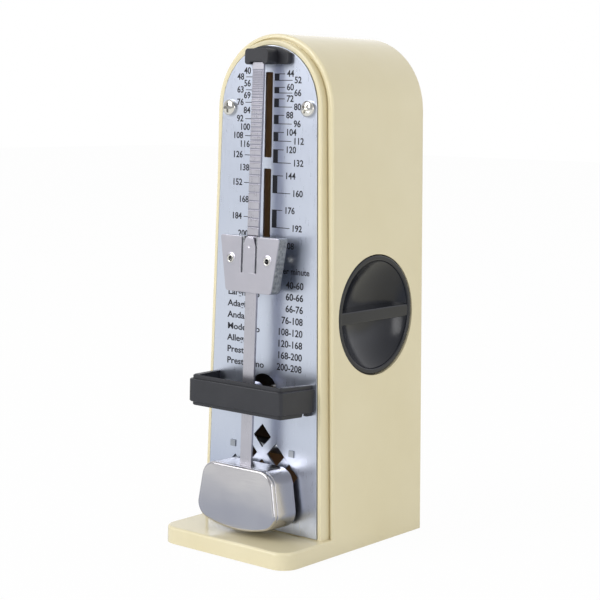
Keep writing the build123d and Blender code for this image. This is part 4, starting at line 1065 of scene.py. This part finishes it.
def dialScrews():
    size = screwSize
    radius, tall = size["head"], size["tall"]
    shank, point, brim = size["shank"], size["point"], size["brim"]
    profile = [(0, -size["long"]), (shank - point, -size["long"]), (shank, point - size["long"]),
               (shank, 0), (radius - 0.1, 0), (radius, 0.12), (radius, tall * brim)]
    for k in range(1, 9):  # a pan head: flatter than a ball
        a = pi / 2 * k / 9
        profile.append((radius * cos(a) ** 0.8, tall * (brim + (1 - brim) * sin(a))))
    profile.append((0, tall))
    bm = bmesh.new()
    lathe(bm, profile, 56, facingFront())
    head = bmeshToPiece("dialScrew", bm, caseFrame, brightNickel)
    half, span = size["cross"] / 2, size["span"] / 2
    cutPiece(head, [boxMesh(xs, (-tall - 1, size["deep"] - tall), zs)
                    for xs, zs in (((-half, half), (-span, span)), ((-span, span), (-half, half)))], caseFrame)
    bm = bmesh.new()
    takePiece(bm, head, caseFrame)
    points = [(side * size["x"], 0, size["z"]) for side in (-1, 1)]
    screws = setFasteners("dialScrews", bm, points, size["turn"], dialFrame, brightNickel)
    return settle(screws, "case", "screw_steel", "dial_screws")


# the scale printed on the dial; a scale's rows are x and tempos
printSize = {"ink": 0.03, "tick": 0.22, "digit": 2.05, "word": 2.05, "wordStretch": 1.2, "weight": 0.06,
             "capital": 0.73, "rowTop": 83.5, "rowStep": 3.66, "tableLeft": -15.5, "tableRight": 15.4,
             "span": 2.214, "title": 1.9475, "titleRight": 17.6, "titleRow": 88.0}
graduationSize = {"left": 2.15, "block": 4.05, "short": 6.3, "long": 9.3, "farLeft": -9.5, "farRight": -6.8}
leftScale = {"inner": (-7.5, (40, 56, 69, 84, 100, 116, 138, 168, 200)),
             "outer": (-10.3, (48, 63, 76, 92, 108, 126, 152, 184))}
rightScale = {"inner": (7.05, (44, 60, 72, 88, 104, 120, 144, 176, 208)),
              "outer": (10.05, (52, 66, 80, 96, 112, 132, 160, 192))}
tempoNames = (("Largo", "40-60"), ("Larghetto", "60-66"), ("Adagio", "66-76"), ("Andante", "76-108"),
              ("Moderato", "108-120"), ("Allegro", "120-168"), ("Presto", "168-200"), ("Prestissimo", "200-208"))


def dialGraduations():
    tick = {"Ink": printSize["ink"], "Line": printSize["tick"], "Material": ink, "Bars": 8, **lawValues}
    block = {"First": 6, "Step": 4, "Span": 2, "Early": 4, "First Span": 2}
    lines = {"First": 6, "Step": 4, "Span": 0, "Early": 4, "First Span": 0}
    ends = {"First": 8, "Step": 4, "Span": 0, "Early": 2, "First Span": 0}
    outer = {"First": 7, "Step": 4, "Span": 0, "Early": 3, "First Span": 0}
    size = graduationSize
    rows = ((block, size["left"], size["block"]), (lines, size["left"], size["short"]),
            (ends, size["left"], size["long"]), (outer, size["farLeft"], size["farRight"]))
    return [growPiece("bars", bpy.data.meshes.new("marks"), graduations,
                      {**tick, **row, "Left": left, "Right": right}, metreFrame, ink) for row, left, right in rows]


def addLetters(bm, words, x, z, align, height, stretch=1.0):
    curve = bpy.data.curves.new("letters", "FONT")
    curve.body = words
    curve.size = height / printSize["capital"]
    curve.align_x = align
    curve.align_y = "CENTER" if words[0].isdigit() else "BOTTOM_BASELINE"
    curve.offset = printSize["weight"]
    curve.extrude = printSize["ink"] / 2
    curve.resolution_u = 3
    mesh = curveMesh("letters", curve)
    low = z if words[0].isdigit() else z - height / 2
    mesh.transform(facingFront(x, -printSize["ink"] / 2, low) @ Matrix.Diagonal((stretch, 1, 1, 1)))
    takeMesh(bm, mesh)


def dialPrint():
    bm = bmesh.new()
    for bars in dialGraduations():
        bm.from_mesh(bars.data)
        bpy.data.objects.remove(bars)
    for side, scale in (("RIGHT", leftScale), ("LEFT", rightScale)):
        for x, tempos in scale.values():
            for tempo in tempos:
                addLetters(bm, str(tempo), x, tempoHeight(tempo), side, printSize["digit"])
    for row, (name, span) in enumerate(tempoNames):
        z = printSize["rowTop"] - row * printSize["rowStep"]
        addLetters(bm, name, printSize["tableLeft"], z, "LEFT", printSize["word"], printSize["wordStretch"])
        addLetters(bm, span, printSize["tableRight"], z, "RIGHT", printSize["span"])
    addLetters(bm, "beats per minute", printSize["titleRight"], printSize["titleRow"], "RIGHT", printSize["title"])
    piece = bmeshToPiece("dialPrint", bm, dialFrame, ink)
    return settle(piece, "case", "dial_metal")


dialPlate()
dialPrint()
dialScrews()
print("dial made")
rodClip()
pendulumBridge()
windingKnob()
print("clip, bridge and knob made")
pendulumRod()
bobCover()
bobBody()
weightPlate()
weightCasting()
weightRivets()
print("pendulum made")
